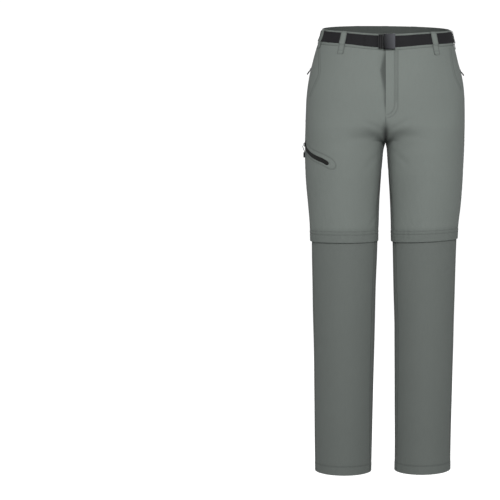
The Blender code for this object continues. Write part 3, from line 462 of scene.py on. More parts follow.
def pocketOutline():
    # The zip's line moved up and down, joined round its lower end by a half ellipse.
    above, below, off = thighPocket["stitchAbove"], thighPocket["stitchBelow"], thighPocket["leftOff"]
    way = unit(zipLine[-1] - zipLine[-2])
    side = np.array([-way[1], way[0]])
    turn = np.radians(np.linspace(90.0, -90.0, thighPocket["roundPoints"]))[1:-1, None]
    reach, middle = (above + below) / 2, (above - below) / 2
    end = zipLine[-1] + side * (middle + reach * np.sin(turn)) + way * reach * thighPocket["roundEnd"] * np.cos(turn)
    return np.concatenate([offsetPath(zipLine, above)[off:], end, offsetPath(zipLine, -below)[::-1][:-off]])


pocketPath = pocketOutline()


def distanceOn(chosen, path, across, heights, farAway=99.0):
    # Distance to a line of straight pieces, all at once, and far away where the quarter isn't the chosen one.
    start, way = path[:-1], path[1:] - path[:-1]
    px, py = across[..., None] - start[:, 0], heights[..., None] - start[:, 1]
    t = np.clip((px * way[:, 0] + py * way[:, 1]) / np.sum(way * way, axis=1), 0.0, 1.0)
    distance = np.sqrt(np.square(px - t * way[:, 0]) + np.square(py - t * way[:, 1])).min(axis=-1)
    return np.where(chosen, distance, farAway)


# Folds across the cloth: start x and z, end x and z, width, depth, and the half that they are on
folds = (
    (6, -226, 70, -196, 9, 0.9, "front"), (5, -238, 92, -240, 12, 0.8, "front"),
    (8, -262, 60, -318, 10, 0.8, "front"), (-5, -226, -64, -200, 9, 0.8, "front"),
    (-6, -240, -96, -246, 12, 0.9, "front"), (-8, -264, -56, -330, 10, 0.8, "front"),
    (20, -208, 120, -238, 11, 1.6, "back"),
    (14, -236, 130, -268, 12, 1.5, "back"), (-18, -210, -118, -236, 11, 1.5, "back"),
    (-14, -238, -132, -272, 12, 1.6, "back"), (16, -270, 96, -330, 12, 1.2, "back"),
    (-16, -272, -98, -322, 12, 1.2, "back"), (138, -562, 152, -546, 5, 0.9, "front"),
    (140, -654, 151, -642, 5, 0.7, "front"), (-36, -452, -22, -420, 6, 0.8, "front"),
    (30, -520, 120, -545, 12, 0.7, "back"), (-34, -522, -125, -550, 12, 0.8, "back"),
    (-40, -560, -118, -590, 14, 0.8, "back"), (36, -566, 122, -596, 14, 0.7, "back"),
)
foldForm = {"parting": 7.0, "blend": 30.0, "fadeIn": 0.3, "fadeOut": 0.45, "banks": 1.6}
# Waves over the whole cloth: turns along x, y and z, phase and height
waves = (
    ((0.011, 0.006, 0.016), 0.3, 0.55), ((-0.019, 0.012, 0.009), 1.7, 0.45), ((0.026, -0.017, 0.007), 4.1, 0.35),
    ((0.007, 0.024, -0.021), 2.6, 0.30), ((-0.034, -0.010, 0.024), 5.2, 0.16), ((0.041, 0.022, 0.015), 0.9, 0.12),
)


def foldRelief(points):
    # Each fold is a valley between two low banks, fading at its ends; the waves are long and shallow.
    x, y, z = points[..., 0], points[..., 1], points[..., 2]
    total = np.zeros_like(x)
    for x0, z0, x1, z1, width, depth, half in folds:
        length = math.hypot(x1 - x0, z1 - z0)
        along = ((x - x0) * (x1 - x0) + (z - z0) * (z1 - z0)) / length ** 2
        across = ((x - x0) * (z1 - z0) - (z - z0) * (x1 - x0)) / length / width
        towards = -1.0 if half == "front" else 1.0
        side = smoothStep(towards * (y - foldForm["parting"]) / foldForm["blend"] + 0.5)
        fade = smoothStep(along / foldForm["fadeIn"]) * smoothStep((1.0 - along) / foldForm["fadeOut"])
        total -= depth * side * fade * (1.0 - foldForm["banks"] * across ** 2) * np.exp(-across ** 2)
    for (kx, ky, kz), phase, height in waves:
        total += height * np.sin(kx * x + ky * y + kz * z + phase)
    return total


def press(relief, paintedShade, near, line, amount=1.0):
    # Adds a line's bank and sunk middle, as bells of the distance to it, and raises the painted shade to the line's
    # own.
    bank, bankAt, bankWidth, depth, width, shade, shadeWidth = line
    relief += amount * (bank * bell(near - bankAt, bankWidth) - depth * bell(near, width))
    np.maximum(paintedShade, amount * shade * bell(near, shadeWidth), out=paintedShade)


def flyRelief(relief, paintedShade, heights, number, toCentre):
    # The fly's two rows and raised lap on the left, painted shade on the band between the rows and on the strip that
    # sinks on the right, and painted shade along the crotch seam.
    left = number == 0
    for path, line in zip(flyPaths, lines["fly"]):
        press(relief, paintedShade, distanceOn(left, path, toCentre, heights), line)
    between = smoothStep(toCentre - fly["lines"][0]) * smoothStep(fly["lines"][1] - toCentre)
    between = between * smoothStep((heights - fly["curveFrom"]) / fly["bandOver"])
    sunk = np.interp(heights, *fly["strip"])
    strip = smoothStep((sunk - toCentre) / fly["stripBlend"] + 0.5) * smoothStep(sunk / fly["stripLeast"])
    seam = np.interp(heights, *crotchShade["amount"]) * bell(toCentre, crotchShade["width"])
    for shade in (np.where(left, fly["bandShade"] * between, 0.0),
                  np.where(number == 3, fly["stripShade"] * strip, 0.0), seam):
        np.maximum(paintedShade, shade, out=paintedShade)
    lap = smoothStep((fly["lapEdge"] - toCentre) / fly["lapBlend"])
    relief += np.where(left, fly["lap"] * lap * smoothStep((heights - fly["lapEnd"]) / fly["lapOver"]), 0.0)


def pocketRelief(relief, paintedShade, heights, number, toSide):
    # The hand pockets' stitching and the welts of their zips, then the thigh pocket's zip and its stitching, with
    # painted shade along the stitched lines.
    past, over = handPocket["weltPast"], handPocket["weltOver"]
    welt = smoothStep((handPocket["zipTop"] + past - heights) / over) * smoothStep(
        (heights - handPocket["zipEnd"] + past) / over)
    for leg, own in (("left", number == 0), ("right", number == 3)):
        for path, line in zip(sidePaths[leg], lines["side"]):
            press(relief, paintedShade, distanceOn(own, path, toSide, heights), line)
        press(relief, paintedShade, np.abs(toSide - handPocket["zipFromSeam"]), lines["handZip"], np.where(own, welt, 0.0))
    for path, line in ((zipLine, "thighZip"), (pocketPath, "thighPocket")):
        press(relief, paintedShade, distanceOn(number == 3, path, toSide, heights), lines[line])


def kneeRelief(relief, paintedShade, places, heights):
    # The flap's two rows of stitching with painted shade along them, its raised fold, painted shade over the flap
    # from just above the fold down, and fine wrinkles between the rows.
    for row in knee["rows"]:
        press(relief, paintedShade, heights - row, lines["knee"])
    fast, phase = knee["puckerFade"]
    wrinkle = sway(places, knee["puckerTurns"]) * np.sin(places * fast + phase)
    relief += knee["foldRaise"] * smoothStep((knee["foldFrom"] - heights) / knee["foldOver"])
    relief += knee["pucker"] * wrinkle * bell(heights - sum(knee["rows"]) / 2.0, knee["puckerWidth"])
    shade = smoothStep((knee["foldFrom"] + knee["shadeAbove"] - heights) / knee["shadeOver"])
    np.maximum(paintedShade, knee["flapShade"] * shade, out=paintedShade)


def hemRelief(relief, paintedShade, places, heights, end):
    # The turned-up hem, its row of stitching with painted shade along it, and ripples that grow towards the edge.
    relief += hem["raise"] * smoothStep((end + hem["fold"] - heights) / hem["raiseOver"])
    press(relief, paintedShade, heights - end - hem["row"], lines["hem"])
    fade = smoothStep((end + hem["rippleSpan"] - heights) / hem["rippleSpan"])
    relief += hem["ripple"] * sway(places, hem["rippleTurns"]) * fade


def reliefAt(kind, places, heights):
    # What the seams, stitching, folded edges and soft folds add to the surface, and the painted shade that darkens
    # the cloth along them, at the fly, the crotch and the flap.
    places, heights = np.broadcast_arrays(np.asarray(places, float), np.asarray(heights, float))
    number, fraction = quarterOf(places)
    length = np.choose(number, [lengthAt(kind, k, heights) for k in range(4)])
    fromStart, fromEnd = fraction * length, (1.0 - fraction) * length
    odd = number % 2 == 1
    toSide, toCentre = np.where(odd, fromStart, fromEnd), np.where(odd, fromEnd, fromStart)
    relief = foldRelief(clothAt(kind, places, heights)[0])
    paintedShade = np.zeros_like(relief)
    front = (number == 0) | (number == 3)
    closed = np.where(front & (kind == "shorts"), smoothStep((fly["seamFrom"] - heights) / fly["seamOver"]), 1.0)
    for distance, amount in ((toSide, 1.0), (toCentre, closed)):
        press(relief, paintedShade, distance, lines["seam"], amount)
        pucker = sway(heights, seamPucker["turns"]) * bell(distance, seamPucker["width"])
        relief += amount * seamPucker["height"] * pucker
    if kind == "shorts":
        flyRelief(relief, paintedShade, heights, number, toCentre)
        pocketRelief(relief, paintedShade, heights, number, toSide)
        kneeRelief(relief, paintedShade, places, heights)
        press(relief, paintedShade, heights - form["waistSeam"], lines["waist"])
    else:
        hemRelief(relief, paintedShade, places, heights, np.where(number < 2, form["hem"]["left"], form["hem"]["right"]))
    return relief, paintedShade


# Materials: two groups, the weave for cloths and the grain for hard pieces
weave = {"slub": 240.0, "slubDetail": 3.0, "slubStretch": (1.0, 0.16, 1.0), "broad": 9.0, "broadDetail": 4.0,
         "paintedShadeStrength": -0.42, "roughness": 0.76, "roughnessVaries": 0.12}
grain = {"detail": 4.0, "marksAndPaintedLight": 420.0, "marksDetail": 6.0, "marksStretch": (1.0, 1.0, 0.12), "marksMiddle": 0.35,
         "marksGain": 4.0, "ribPitch": 0.0045, "least": 0.02, "roughnessVaries": 0.16}
clothSurface = {"bump": 0.35, "sheenRoughness": 0.45, "shine": 0.25}
hardSurface = {"bump": 0.4, "bumpDepth": 0.00005}


def feed(tree, node, values):
    # Sets a node's inputs, or links them where the value is another node's output.
    for key, value in values.items():
        if isinstance(value, bpy.types.NodeSocket):
            tree.links.new(value, node.inputs[key])
        else:
            node.inputs[key].default_value = value
    return node


def addNode(tree, kind, values=(), **settings):
    # A node with its settings made and its inputs fed.
    node = tree.nodes.new(kind)
    for name, value in settings.items():
        setattr(node, name, value)
    return feed(tree, node, dict(values))


def mathNode(tree, operation, first, second=None):
    # The output of one sum of numbers or sockets.
    values = {0: first} if second is None else {0: first, 1: second}
    return addNode(tree, "ShaderNodeMath", values, operation=operation).outputs[0]


def noiseNode(tree, vector, scale, detail):
    # The output of a noise, from 0 to 1.
    return addNode(tree, "ShaderNodeTexNoise", {"Vector": vector, "Scale": scale, "Detail": detail}).outputs["Fac"]


def stretched(tree, vector, scale):
    # A vector scaled apart along each axis.
    return addNode(tree, "ShaderNodeMapping", {"Vector": vector, "Scale": scale}).outputs[0]


def startGroup(name, inputs):
    # A group with a vector, a base colour and its own inputs, that puts out colour, height and roughness.
    group = bpy.data.node_groups.new(name, "ShaderNodeTree")
    for label, value in (("Vector", None), ("Base", (0.2, 0.2, 0.2, 1.0)), *inputs):
        kind = {"Vector": "Vector", "Base": "Color"}.get(label, "Vector" if isinstance(value, tuple) else "Float")
        socket = group.interface.new_socket(name=label, in_out="INPUT", socket_type="NodeSocket" + kind)
        if value is not None:
            socket.default_value = value
    for label, kind in (("Color", "Color"), ("Height", "Float"), ("Roughness", "Float")):
        group.interface.new_socket(name=label, in_out="OUTPUT", socket_type="NodeSocket" + kind)
    return group, addNode(group, "NodeGroupInput").outputs


def endGroup(group, given, level, height, rough):
    # The base colour is scaled by the level.
    color = addNode(group, "ShaderNodeVectorMath", {0: given["Base"], "Scale": level}, operation="SCALE")
    addNode(group, "NodeGroupOutput", {"Color": color.outputs[0], "Height": height, "Roughness": rough})
    return group


def makeWeave():
    # Over and under threads: a sine along each way, one for warp and one for weft, with slubs from noise.
    group, given = startGroup("weave", (("Threads", 2200.0), ("Depth", 0.16), ("Mottle", 0.12), ("PaintedShade", 0.0)))
    parts = addNode(group, "ShaderNodeSeparateXYZ", {0: given["Vector"]})
    warp, weft = (mathNode(group, "SINE", mathNode(group, "MULTIPLY", parts.outputs[axis], given["Threads"]))
                  for axis in (0, 1))
    threads = mathNode(group, "MULTIPLY", warp, weft)
    along = stretched(group, given["Vector"], weave["slubStretch"])
    slub = noiseNode(group, along, weave["slub"], weave["slubDetail"])
    broad = noiseNode(group, given["Vector"], weave["broad"], weave["broadDetail"])
    fine, coarse = (mathNode(group, "SUBTRACT", noise, 0.5) for noise in (slub, broad))
    level = mathNode(group, "ADD", 1.0, mathNode(group, "MULTIPLY", threads, given["Depth"]))
    mottle = mathNode(group, "MULTIPLY", mathNode(group, "ADD", fine, coarse), given["Mottle"])
    # Painted shade: the colour is darkened by the amount given for each point.
    dark = mathNode(group, "MULTIPLY", given["PaintedShade"], weave["paintedShadeStrength"])
    for part in (mottle, dark):
        level = mathNode(group, "ADD", level, part)
    rough = mathNode(group, "ADD", mathNode(group, "MULTIPLY", slub, weave["roughnessVaries"]), weave["roughness"])
    return endGroup(group, given, level, mathNode(group, "ADD", threads, slub), rough)


def makeGrain():
    # Fine moulded or satin grain with scuffs: noise for the surface, and stretched noise for faint marks.
    # A painted highlight brightens the colour along a given way from Middle, and painted rib shade scales it by a
    # cosine of X with a rib every 4.5 mm, as deep as given.
    none = (0.0, 0.0, 0.0)
    group, given = startGroup("grain", (("Scale", 900.0), ("Scuff", 0.15), ("Polish", 0.4), ("Middle", none),
                                        ("PaintedHighlight", none), ("PaintedRibShade", 0.0)))
    fine = noiseNode(group, given["Vector"], given["Scale"], grain["detail"])
    upright = stretched(group, given["Vector"], grain["marksStretch"])
    marksAndPaintedLight = noiseNode(group, upright, grain["marksAndPaintedLight"], grain["marksDetail"])
    scuffs = mathNode(group, "MULTIPLY", mathNode(group, "SUBTRACT", marksAndPaintedLight, grain["marksMiddle"]), given["Scuff"])
    offset = addNode(group, "ShaderNodeVectorMath", {0: given["Vector"], 1: given["Middle"]},
                     operation="SUBTRACT").outputs[0]
    paintedHighlight = addNode(group, "ShaderNodeVectorMath", {0: offset, 1: given["PaintedHighlight"]}, operation="DOT_PRODUCT")
    x = addNode(group, "ShaderNodeSeparateXYZ", {0: offset}).outputs[0]
    # The cosine for the painted rib shade.
    ribs = mathNode(group, "COSINE", mathNode(group, "MULTIPLY", x, 2.0 * math.pi / grain["ribPitch"]))
    level = mathNode(group, "ADD", 1.0, mathNode(group, "MULTIPLY", scuffs, grain["marksGain"]))
    for part in (paintedHighlight.outputs["Value"], mathNode(group, "MULTIPLY", ribs, given["PaintedRibShade"])):
        level = mathNode(group, "ADD", level, part)
    level = mathNode(group, "MAXIMUM", level, grain["least"])  # a colour never falls to nothing
    rough = mathNode(group, "ADD", given["Polish"], mathNode(group, "MULTIPLY", fine, grain["roughnessVaries"]))
    return endGroup(group, given, level, fine, rough)


weaveGroup, grainGroup = makeWeave(), makeGrain()


def newMaterial(name):
    # A material, its tree and its shader.
    material = bpy.data.materials.new(name)
    material.use_nodes = True
    return material, material.node_tree, material.node_tree.nodes["Principled BSDF"]


def dressShader(tree, shader, group, values, bumpValues):
    # The group's colour and roughness go to the shader, and its height to the normal by way of a bump.
    look = addNode(tree, "ShaderNodeGroup", values, node_tree=group).outputs
    bump = addNode(tree, "ShaderNodeBump", {"Height": look["Height"], **bumpValues})
    feed(tree, shader, {"Base Color": look["Color"], "Roughness": look["Roughness"], "Normal": bump.outputs[0]})


def clothMaterial(name, color, threads=8500.0, depth=0.10, mottle=0.10, sheen=0.1, bumpDepth=0.00008):
    # The weave laid out by the mesh's own uv, darkened by a painted shade given for each point in seams, stitched
    # lines, hollows and on inside faces.
    material, tree, shader = newMaterial(name)
    place = addNode(tree, "ShaderNodeUVMap", uv_map="cloth").outputs[0]
    paintedShade = addNode(tree, "ShaderNodeAttribute", attribute_name="paintedShade").outputs["Fac"]
    values = {"Vector": place, "Base": color, "Threads": threads, "Depth": depth, "Mottle": mottle, "PaintedShade": paintedShade}
    dressShader(tree, shader, weaveGroup, values, {"Strength": clothSurface["bump"], "Distance": bumpDepth})
    feed(tree, shader, {"Sheen Weight": sheen, "Sheen Roughness": clothSurface["sheenRoughness"],
                        "Specular IOR Level": clothSurface["shine"]})
    return material


def hardMaterial(name, color, scale, scuff, polish, metallic=0.0, shine=0.3, marksAndPaintedLight=()):
    # The grain laid out in the object's own space; the extra inputs give the plate's painted highlight and the
    # receiver's painted rib shade.
    material, tree, shader = newMaterial(name)
    place = addNode(tree, "ShaderNodeTexCoord").outputs["Object"]
    values = {"Vector": place, "Base": color, "Scale": scale, "Scuff": scuff, "Polish": polish, **dict(marksAndPaintedLight)}
    bump = {"Strength": hardSurface["bump"], "Distance": hardSurface["bumpDepth"]}
    dressShader(tree, shader, grainGroup, values, bump)
    feed(tree, shader, {"Metallic": metallic, "Specular IOR Level": shine})
    return material


# The plate's painted highlight brightens it towards its right and top; the receiver's painted shade falls between its
# ribs.
platePaintedHighlight = {"Middle": (0.0083, 0.0, 0.0), "PaintedHighlight": (53.0, 0.0, 10.0)}
receiverPaintedRibShade = {"Middle": (-0.01137, 0.0, 0.0), "PaintedRibShade": 0.95}
looks = {
    "cloth": clothMaterial("grey_green_cloth", (0.186, 0.208, 0.193, 1.0)),
    # A darker copy of the grey-green cloth for the lower legs: painted shade.
    "shadedLegCloth": clothMaterial("grey_green_leg_cloth_painted_shade", (0.143, 0.159, 0.148, 1.0)),
    "thread": clothMaterial("sewing_thread", (0.15, 0.17, 0.157, 1.0), threads=12000.0, sheen=0.2),
    "webbing": clothMaterial("belt_webbing_weave", (0.019, 0.0182, 0.0205, 1.0), 5600.0, 0.35, 0.3, 0.04, 0.0003),
    "tape": clothMaterial("zip_tape", (0.016, 0.017, 0.016, 1.0), 7000.0, 0.3, 0.2, 0.1, 0.0002),
    "plastic": hardMaterial("black_moulding", (0.007, 0.007, 0.0075, 1.0), 1200.0, 0.12, 0.55),
    "slider": hardMaterial("black_slider", (0.02, 0.02, 0.021, 1.0), 900.0, 0.3, 0.28, 0.6),
    "receiver": hardMaterial("ribbed_moulding", (0.016, 0.016, 0.017, 1.0), 1200.0, 0.05, 0.55, 0.0, 0.12,
                             receiverPaintedRibShade),
    "plate": hardMaterial("buckle_satin", (0.05, 0.051, 0.057, 1.0), 700.0, 0.06, 0.46, 0.15, 0.08, platePaintedHighlight),
    "ring": hardMaterial("ring_satin", (0.5, 0.51, 0.51, 1.0), 900.0, 0.1, 0.25, 0.9),
    "cord": clothMaterial("pull_cord_braid", (0.03, 0.03, 0.031, 1.0), 5200.0, 0.4, 0.2, 0.1, 0.0002),
}
print("materials made:", len(looks))

# Meshes


def makeMesh(name, points, faces, look, uv=None, paintedShade=None):
    # Points in millimetres; uv in metres for each point; the painted shade is a number for each point.
    mesh = bpy.data.meshes.new(name)
    points = np.asarray(points, float).reshape(-1, 3) * 0.001
    mesh.vertices.add(len(points))
    mesh.vertices.foreach_set("co", points.ravel())
    mesh.loops.add(faces.size)
    mesh.loops.foreach_set("vertex_index", faces.ravel())
    mesh.polygons.add(len(faces))
    mesh.polygons.foreach_set("loop_start", np.arange(len(faces)) * faces.shape[1])
    mesh.update(calc_edges=True)
    if uv is not None:
        layer = mesh.uv_layers.new(name="cloth")
        layer.data.foreach_set("uv", np.asarray(uv, float).reshape(-1, 2)[faces.ravel()].ravel())
    if paintedShade is not None:
        attribute = mesh.attributes.new("paintedShade", "FLOAT", "POINT")
        attribute.data.foreach_set("value", np.asarray(paintedShade, float).ravel())
    mesh.validate()
    mesh.shade_smooth()
    mesh.set_sharp_from_angle(angle=math.radians(50))
    item = bpy.data.objects.new(name, mesh)
    bpy.context.scene.collection.objects.link(item)
    mesh.materials.append(looks[look])
    return item


def gridFaces(index):
    # The cells of a grid of point numbers, each turned from rows to columns.
    return np.stack([index[:-1, :-1], index[1:, :-1], index[1:, 1:], index[:-1, 1:]], axis=-1).reshape(-1, 4)


def roundIndex(rows, columns):
    # Point numbers of a grid whose last column joins its first one.
    index = np.arange(rows * columns).reshape(rows, columns)
    return np.concatenate([index, index[:, :1]], axis=1)


def shellFaces(rows, columns, closed):
    # Outer grid, inner grid turned round, and strips round the free edges.
    count = rows * columns
    index = roundIndex(rows, columns) if closed else np.arange(count).reshape(rows, columns)
    outer = gridFaces(index)
    edges = [index[0], index[-1][::-1]] + ([] if closed else [index[:, 0][::-1], index[:, -1]])
    strips = [np.stack([edge[:-1], edge[1:], edge[1:] + count, edge[:-1] + count], axis=-1) for edge in edges]
    return np.concatenate([outer, outer[:, ::-1] + count, *strips])


def gridUv(outer):
    # Distances along each row from its middle, and down the grid by the rows' mean steps, in metres.
    u = runLengths(outer, axis=1)
    u = u - u[:, outer.shape[1] // 2][:, None]
    down = np.linalg.norm(np.diff(outer, axis=0), axis=2).mean(axis=1)
    v = np.concatenate([[0.0], np.cumsum(down)])
    return np.stack([u, np.broadcast_to(v[:, None], u.shape)], axis=2) * 0.001


def makeLayer(node, ending, look, outer, inner, paintedShade=None, closed=False, insidePaintedShade=0.4):
    # A shell between two grids of points, in the place of one of the model's nodes; its inside faces get an even
    # painted shade.
    rows, columns = outer.shape[:2]
    paintedShade = np.zeros((rows, columns)) if paintedShade is None else paintedShade
    item = makeMesh(
        node + "_" + ending, np.concatenate([outer.reshape(-1, 3), inner.reshape(-1, 3)]),
        shellFaces(rows, columns, closed), look, np.concatenate([gridUv(outer).reshape(-1, 2)] * 2),
        np.concatenate([paintedShade.ravel(), np.full(paintedShade.size, insidePaintedShade)]))
    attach(item, "garment")
    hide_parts(node)
    return item


def rimOffset(distance, radius):
    # Rounds an edge: how far the face draws back at a distance from the edge.
    inside = np.clip(1.0 - distance / radius, 0.0, 1.0)
    return radius * (1.0 - np.sqrt(1.0 - inside ** 2))


# The thigh pocket's pull: a loop of cord through the ring's slot, held in the moulded tip below
pull = {"forward": 34.0, "height": -256.0, "zipTop": 1.3, "pin": 2.25, "angle": 38.0, "eye": 6.4, "tipOut": 3.1,
        "drop": 17.8, "inTip": 3.5, "spread": (0.7, 0.9, 1.3), "arch": 0.5, "radius": 0.6, "points": 9, "rings": 60,
        "sides": 12}


def makeTube(name, path, radius, look, sides):
    # Rings round a path, square to it, with a point at both ends.
    ways = unit(np.gradient(path, axis=0))
    aside = np.array([0.3, 1.0, 0.1])  # no path runs this way
    across = unit(np.cross(ways, aside))
    over = np.cross(ways, across)
    turn = np.radians(np.arange(sides) * 360.0 / sides)
    rings = path[:, None] + radius * (
        across[:, None] * np.cos(turn)[None, :, None] + over[:, None] * np.sin(turn)[None, :, None])
    along = runLengths(path)
    points = np.concatenate([rings.reshape(-1, 3), path[:1], path[-1:]])
    index = roundIndex(len(path), sides)
    body = gridFaces(index)
    faces = [body[:, [0, 3, 2]], body[:, [0, 2, 1]],
             np.stack([np.full(sides, len(points) - 2), index[0, 1:], index[0, :-1]], axis=-1),
             np.stack([np.full(sides, len(points) - 1), index[-1, :-1], index[-1, 1:]], axis=-1)]
    uv = np.stack(np.broadcast_arrays(along[:, None], (turn * radius)[None, :]), axis=-1).reshape(-1, 2) * 0.001
    uv = np.concatenate([uv, [[0.0, 0.0], [along[-1] * 0.001, 0.0]]])
    return makeMesh(name, points, np.concatenate(faces), look, uv, np.zeros(len(points))), along[-1] * 0.001


def makePullCord():
    # Two strands between the ring's slot and the tip, joined over the slot by a small arch.
    place = frontPlace("right", pull["forward"], pull["height"])
    surface, out = clothAt("shorts", place, pull["height"])
    up = np.array([0.0, 0.0, 1.0])
    down = unit(out * out[2] - up)
    across = np.cross(down, out)
    angle = math.radians(pull["angle"])
    ringWay = down * math.cos(angle) + out * math.sin(angle)
    eye = surface + out * (pull["zipTop"] + pull["pin"]) + ringWay * pull["eye"]
    tip = surface + out * pull["tipOut"] - up * pull["drop"]
    share = np.linspace(0.0, 1.0, pull["points"])[:, None]
    atEye, above, below = pull["spread"]
    spread = np.where(share > 0, mixed(above, below, smoothStep(share)), atEye)
    strands = [np.concatenate([mixed(eye, tip, share) + across * spread * side,
                               [tip + across * below * side - up * pull["inTip"]]]) for side in (1.0, -1.0)]
    route = np.concatenate([strands[0][::-1], [eye + up * pull["arch"]], strands[1]])
    path = smoothPath(route, pull["rings"])
    item, length = makeTube("thigh_pull_cord_braid", path, pull["radius"], "cord", pull["sides"])
    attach(item, "thigh_pull")
    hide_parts("thigh_pull_cord")


makePullCord()

# Panels: columns of a front and a back of the shorts and of a leg, and steps between rows
panels = {"frontColumns": 160, "backColumns": 64, "rowStep": 2.0, "legColumns": 40, "legStep": 3.1,
          "beside": (0.01, 0.8, 1.5, 2.4, 3.6, 5.2, 7.2), "edge": (0.0, 0.08, 0.25, 0.55),
          "topGap": 1.6, "rowGap": 1.5, "archBelow": 5.0, "kneeFrom": -458.0, "kneeTo": -477.5, "kneeStep": 1.3,
          "hemFrom": 28.0, "hemStep": 1.6}


def panelPlaces(kind, number, heights, count):
    # Close together beside the seams and even between them.
    beside = np.array([panels["beside"]]) / lengthAt(kind, number, heights)[:, None]
    middle = np.linspace(0.0, 1.0, count)[None, 1:-1]
    inner = beside[:, -1:]
    return number + np.concatenate([beside, inner + (1.0 - 2.0 * inner) * middle, 1.0 - beside[:, ::-1]], axis=1)


def makePanel(kind, number, heights, count):
    # The cloth's surface with its relief, and a rounded edge at the top and at the lower end.
    leg, half = quarters[number]
    places = panelPlaces(kind, number, heights, count)
    high = np.broadcast_to(heights[:, None], places.shape)
    points, normals = clothAt(kind, places, high)
    relief, paintedShade = reliefAt(kind, places, high)
    rim = rimOffset(np.minimum(high - heights[-1], heights[0] - high), form["wall"] * 0.5)
    outer, inner = raised(points, normals, relief - rim), raised(points, normals, relief - form["wall"] + rim)
    if kind == "shorts" and number == 3:
        outer, inner = dipRightFront(outer, high), dipRightFront(inner, high)
    if kind == "legs":
        # The lower legs take the darker copy of the cloth, painted shade.
        part, look, restsOn = "lower_", "shadedLegCloth", "knee_zip_" + leg
    else:
        part, look, restsOn = "upper_", "cloth", "waistband_back" if half == "back" else "waistband_front_" + leg
    item = makeLayer(part + half + "_" + leg, "cloth", look, outer, inner, paintedShade)


def edgeRows(edge, way):
    # Rows close together where an edge is rounded.
    return edge + way * np.array(panels["edge"])


def shortsRows():
    # Close together at both edges, at the arch of the centre seam, at the crotch and at the knee's stitching.
    base, arch, top, end = bases["shorts"]["heights"], form["archStart"]["front"], form["waistSeam"], form["flapEdge"]
    atArch = base[(base < arch) & (base > form["crotch"] - panels["archBelow"])]
    kneeFrom, kneeTo, step, gap = (panels[name] for name in ("kneeFrom", "kneeTo", "rowStep", "rowGap"))
    return np.sort(np.concatenate([
        edgeRows(top - form["seamGap"] / 2, -1.0), np.arange(top - panels["topGap"], arch, -step), atArch,
        np.arange(atArch[-1] - gap, kneeFrom, -step), np.arange(kneeFrom - 1.0, kneeTo + gap, -panels["kneeStep"]),
        np.arange(kneeTo, end + 1.0, -step), edgeRows(end, 1.0)]))[::-1]


upperRows = shortsRows()
for number, (leg, half) in enumerate(quarters):
    makePanel("shorts", number, upperRows, panels[half + "Columns"])
for number, (leg, half) in enumerate(quarters):
    top, end = form["lowerTop"], form["hem"][leg]
    makePanel("legs", number, np.concatenate([
        edgeRows(top, -1.0), np.arange(top - panels["rowGap"], end + panels["hemFrom"], -panels["legStep"]),
        np.arange(end + panels["hemFrom"] - 2.0, end + 1.0, -panels["hemStep"]), edgeRows(end, 1.0)[::-1]]),
        panels["legColumns"])
print("panels made")

# Waistband: doubled cloth on the panels' own lines, with the right front's underlap behind the left
band = {"raise": 0.4, "wall": 2.0, "rows": 15, "columns": 96, "underlap": 30.0, "underlapColumns": 14,
        "plump": 0.45, "plumpHalf": 17.5, "topRow": 2.4, "lowRow": 2.2, "rowWidth": 0.9, "rowDepth": 0.25,
        "insidePaintedShade": 1.25, "folds": 0.3, "insideFolds": 0.2, "pucker": 0.12, "puckerTurns": (71.0, 1.4, 29.0),
        "puckerLeast": 0.3, "edge": (0.0, 0.1, 0.35, 0.8), "edgeRadius": 0.9, "topIn": 2.0, "seamIn": 1.5,
        "shade": 0.5}


def bandRelief(points, place, high):
    # Plump between its edges, drawn in along its two stitched rows, with a fine pucker between the stitches.
    top, seam = form["waistTop"], form["waistSeam"]
    swell = band["plump"] * (1.0 - np.square((high - (top + seam) / 2) / band["plumpHalf"]))
    stitched = sum(bell(high - row, band["rowWidth"]) for row in (top - band["topRow"], seam + band["lowRow"]))
    ripple = band["pucker"] * sway(place, band["puckerTurns"]) * (band["puckerLeast"] + stitched)
    return swell + band["folds"] * foldRelief(points) - band["rowDepth"] * stitched + ripple, stitched


def sinkRightFront(grid, place, high):
    # The same dip towards the fly as the right front's panel has.
    reach = smoothStep(1.0 + place * waistLengths[3] / form["dipWidth"])
    grid[..., 1] += column(flyDips, "depth", high) * reach


def makeBand(node, places, rightFront=False):
    # Two faces a wall apart over the belt's height, closed by rounded edges at the top and at the seam.
    top, seam, edge = form["waistTop"], form["waistSeam"], np.array(band["edge"])
    between = np.linspace(top - band["topIn"], seam + band["seamIn"], band["rows"])
    rows = np.concatenate([top - edge, between, seam + form["seamGap"] / 2 + edge[::-1]])
    high, place = np.meshgrid(rows, places, indexing="ij")
    points, normals = clothAt("shorts", place, high)
    relief, stitched = bandRelief(points, place, high)
    rim = rimOffset(np.minimum(top - high, high - seam), band["edgeRadius"])
    outer = raised(points, normals, band["raise"] + relief - rim)
    inner = raised(points, normals, band["raise"] - band["wall"] + band["insideFolds"] * foldRelief(points) + rim)
    if rightFront:
        sinkRightFront(outer, place, high)
        sinkRightFront(inner, place, high)
    # Painted shade along the two stitched rows, and a deeper painted shade on the band's inside faces.
    paintedShade = band["shade"] * np.clip(stitched, 0, 1)
    item = makeLayer(node, "cloth", "cloth", outer, inner, paintedShade, insidePaintedShade=band["insidePaintedShade"])


margins = [form["seamGap"] / 2 / length for length in waistLengths]
makeBand("waistband_front_left", np.linspace(margins[0], 1.0 - margins[0], band["columns"]))
makeBand("waistband_back", np.linspace(1.0 + margins[1], 3.0 - margins[2], 2 * band["columns"]))
makeBand("waistband_front_right", np.concatenate([
    np.linspace(-1.0 + margins[3], 0.0, band["columns"]),
    np.linspace(0.0, waistPlace(band["underlap"]), band["underlapColumns"])[1:]]), True)
print("waistband made")

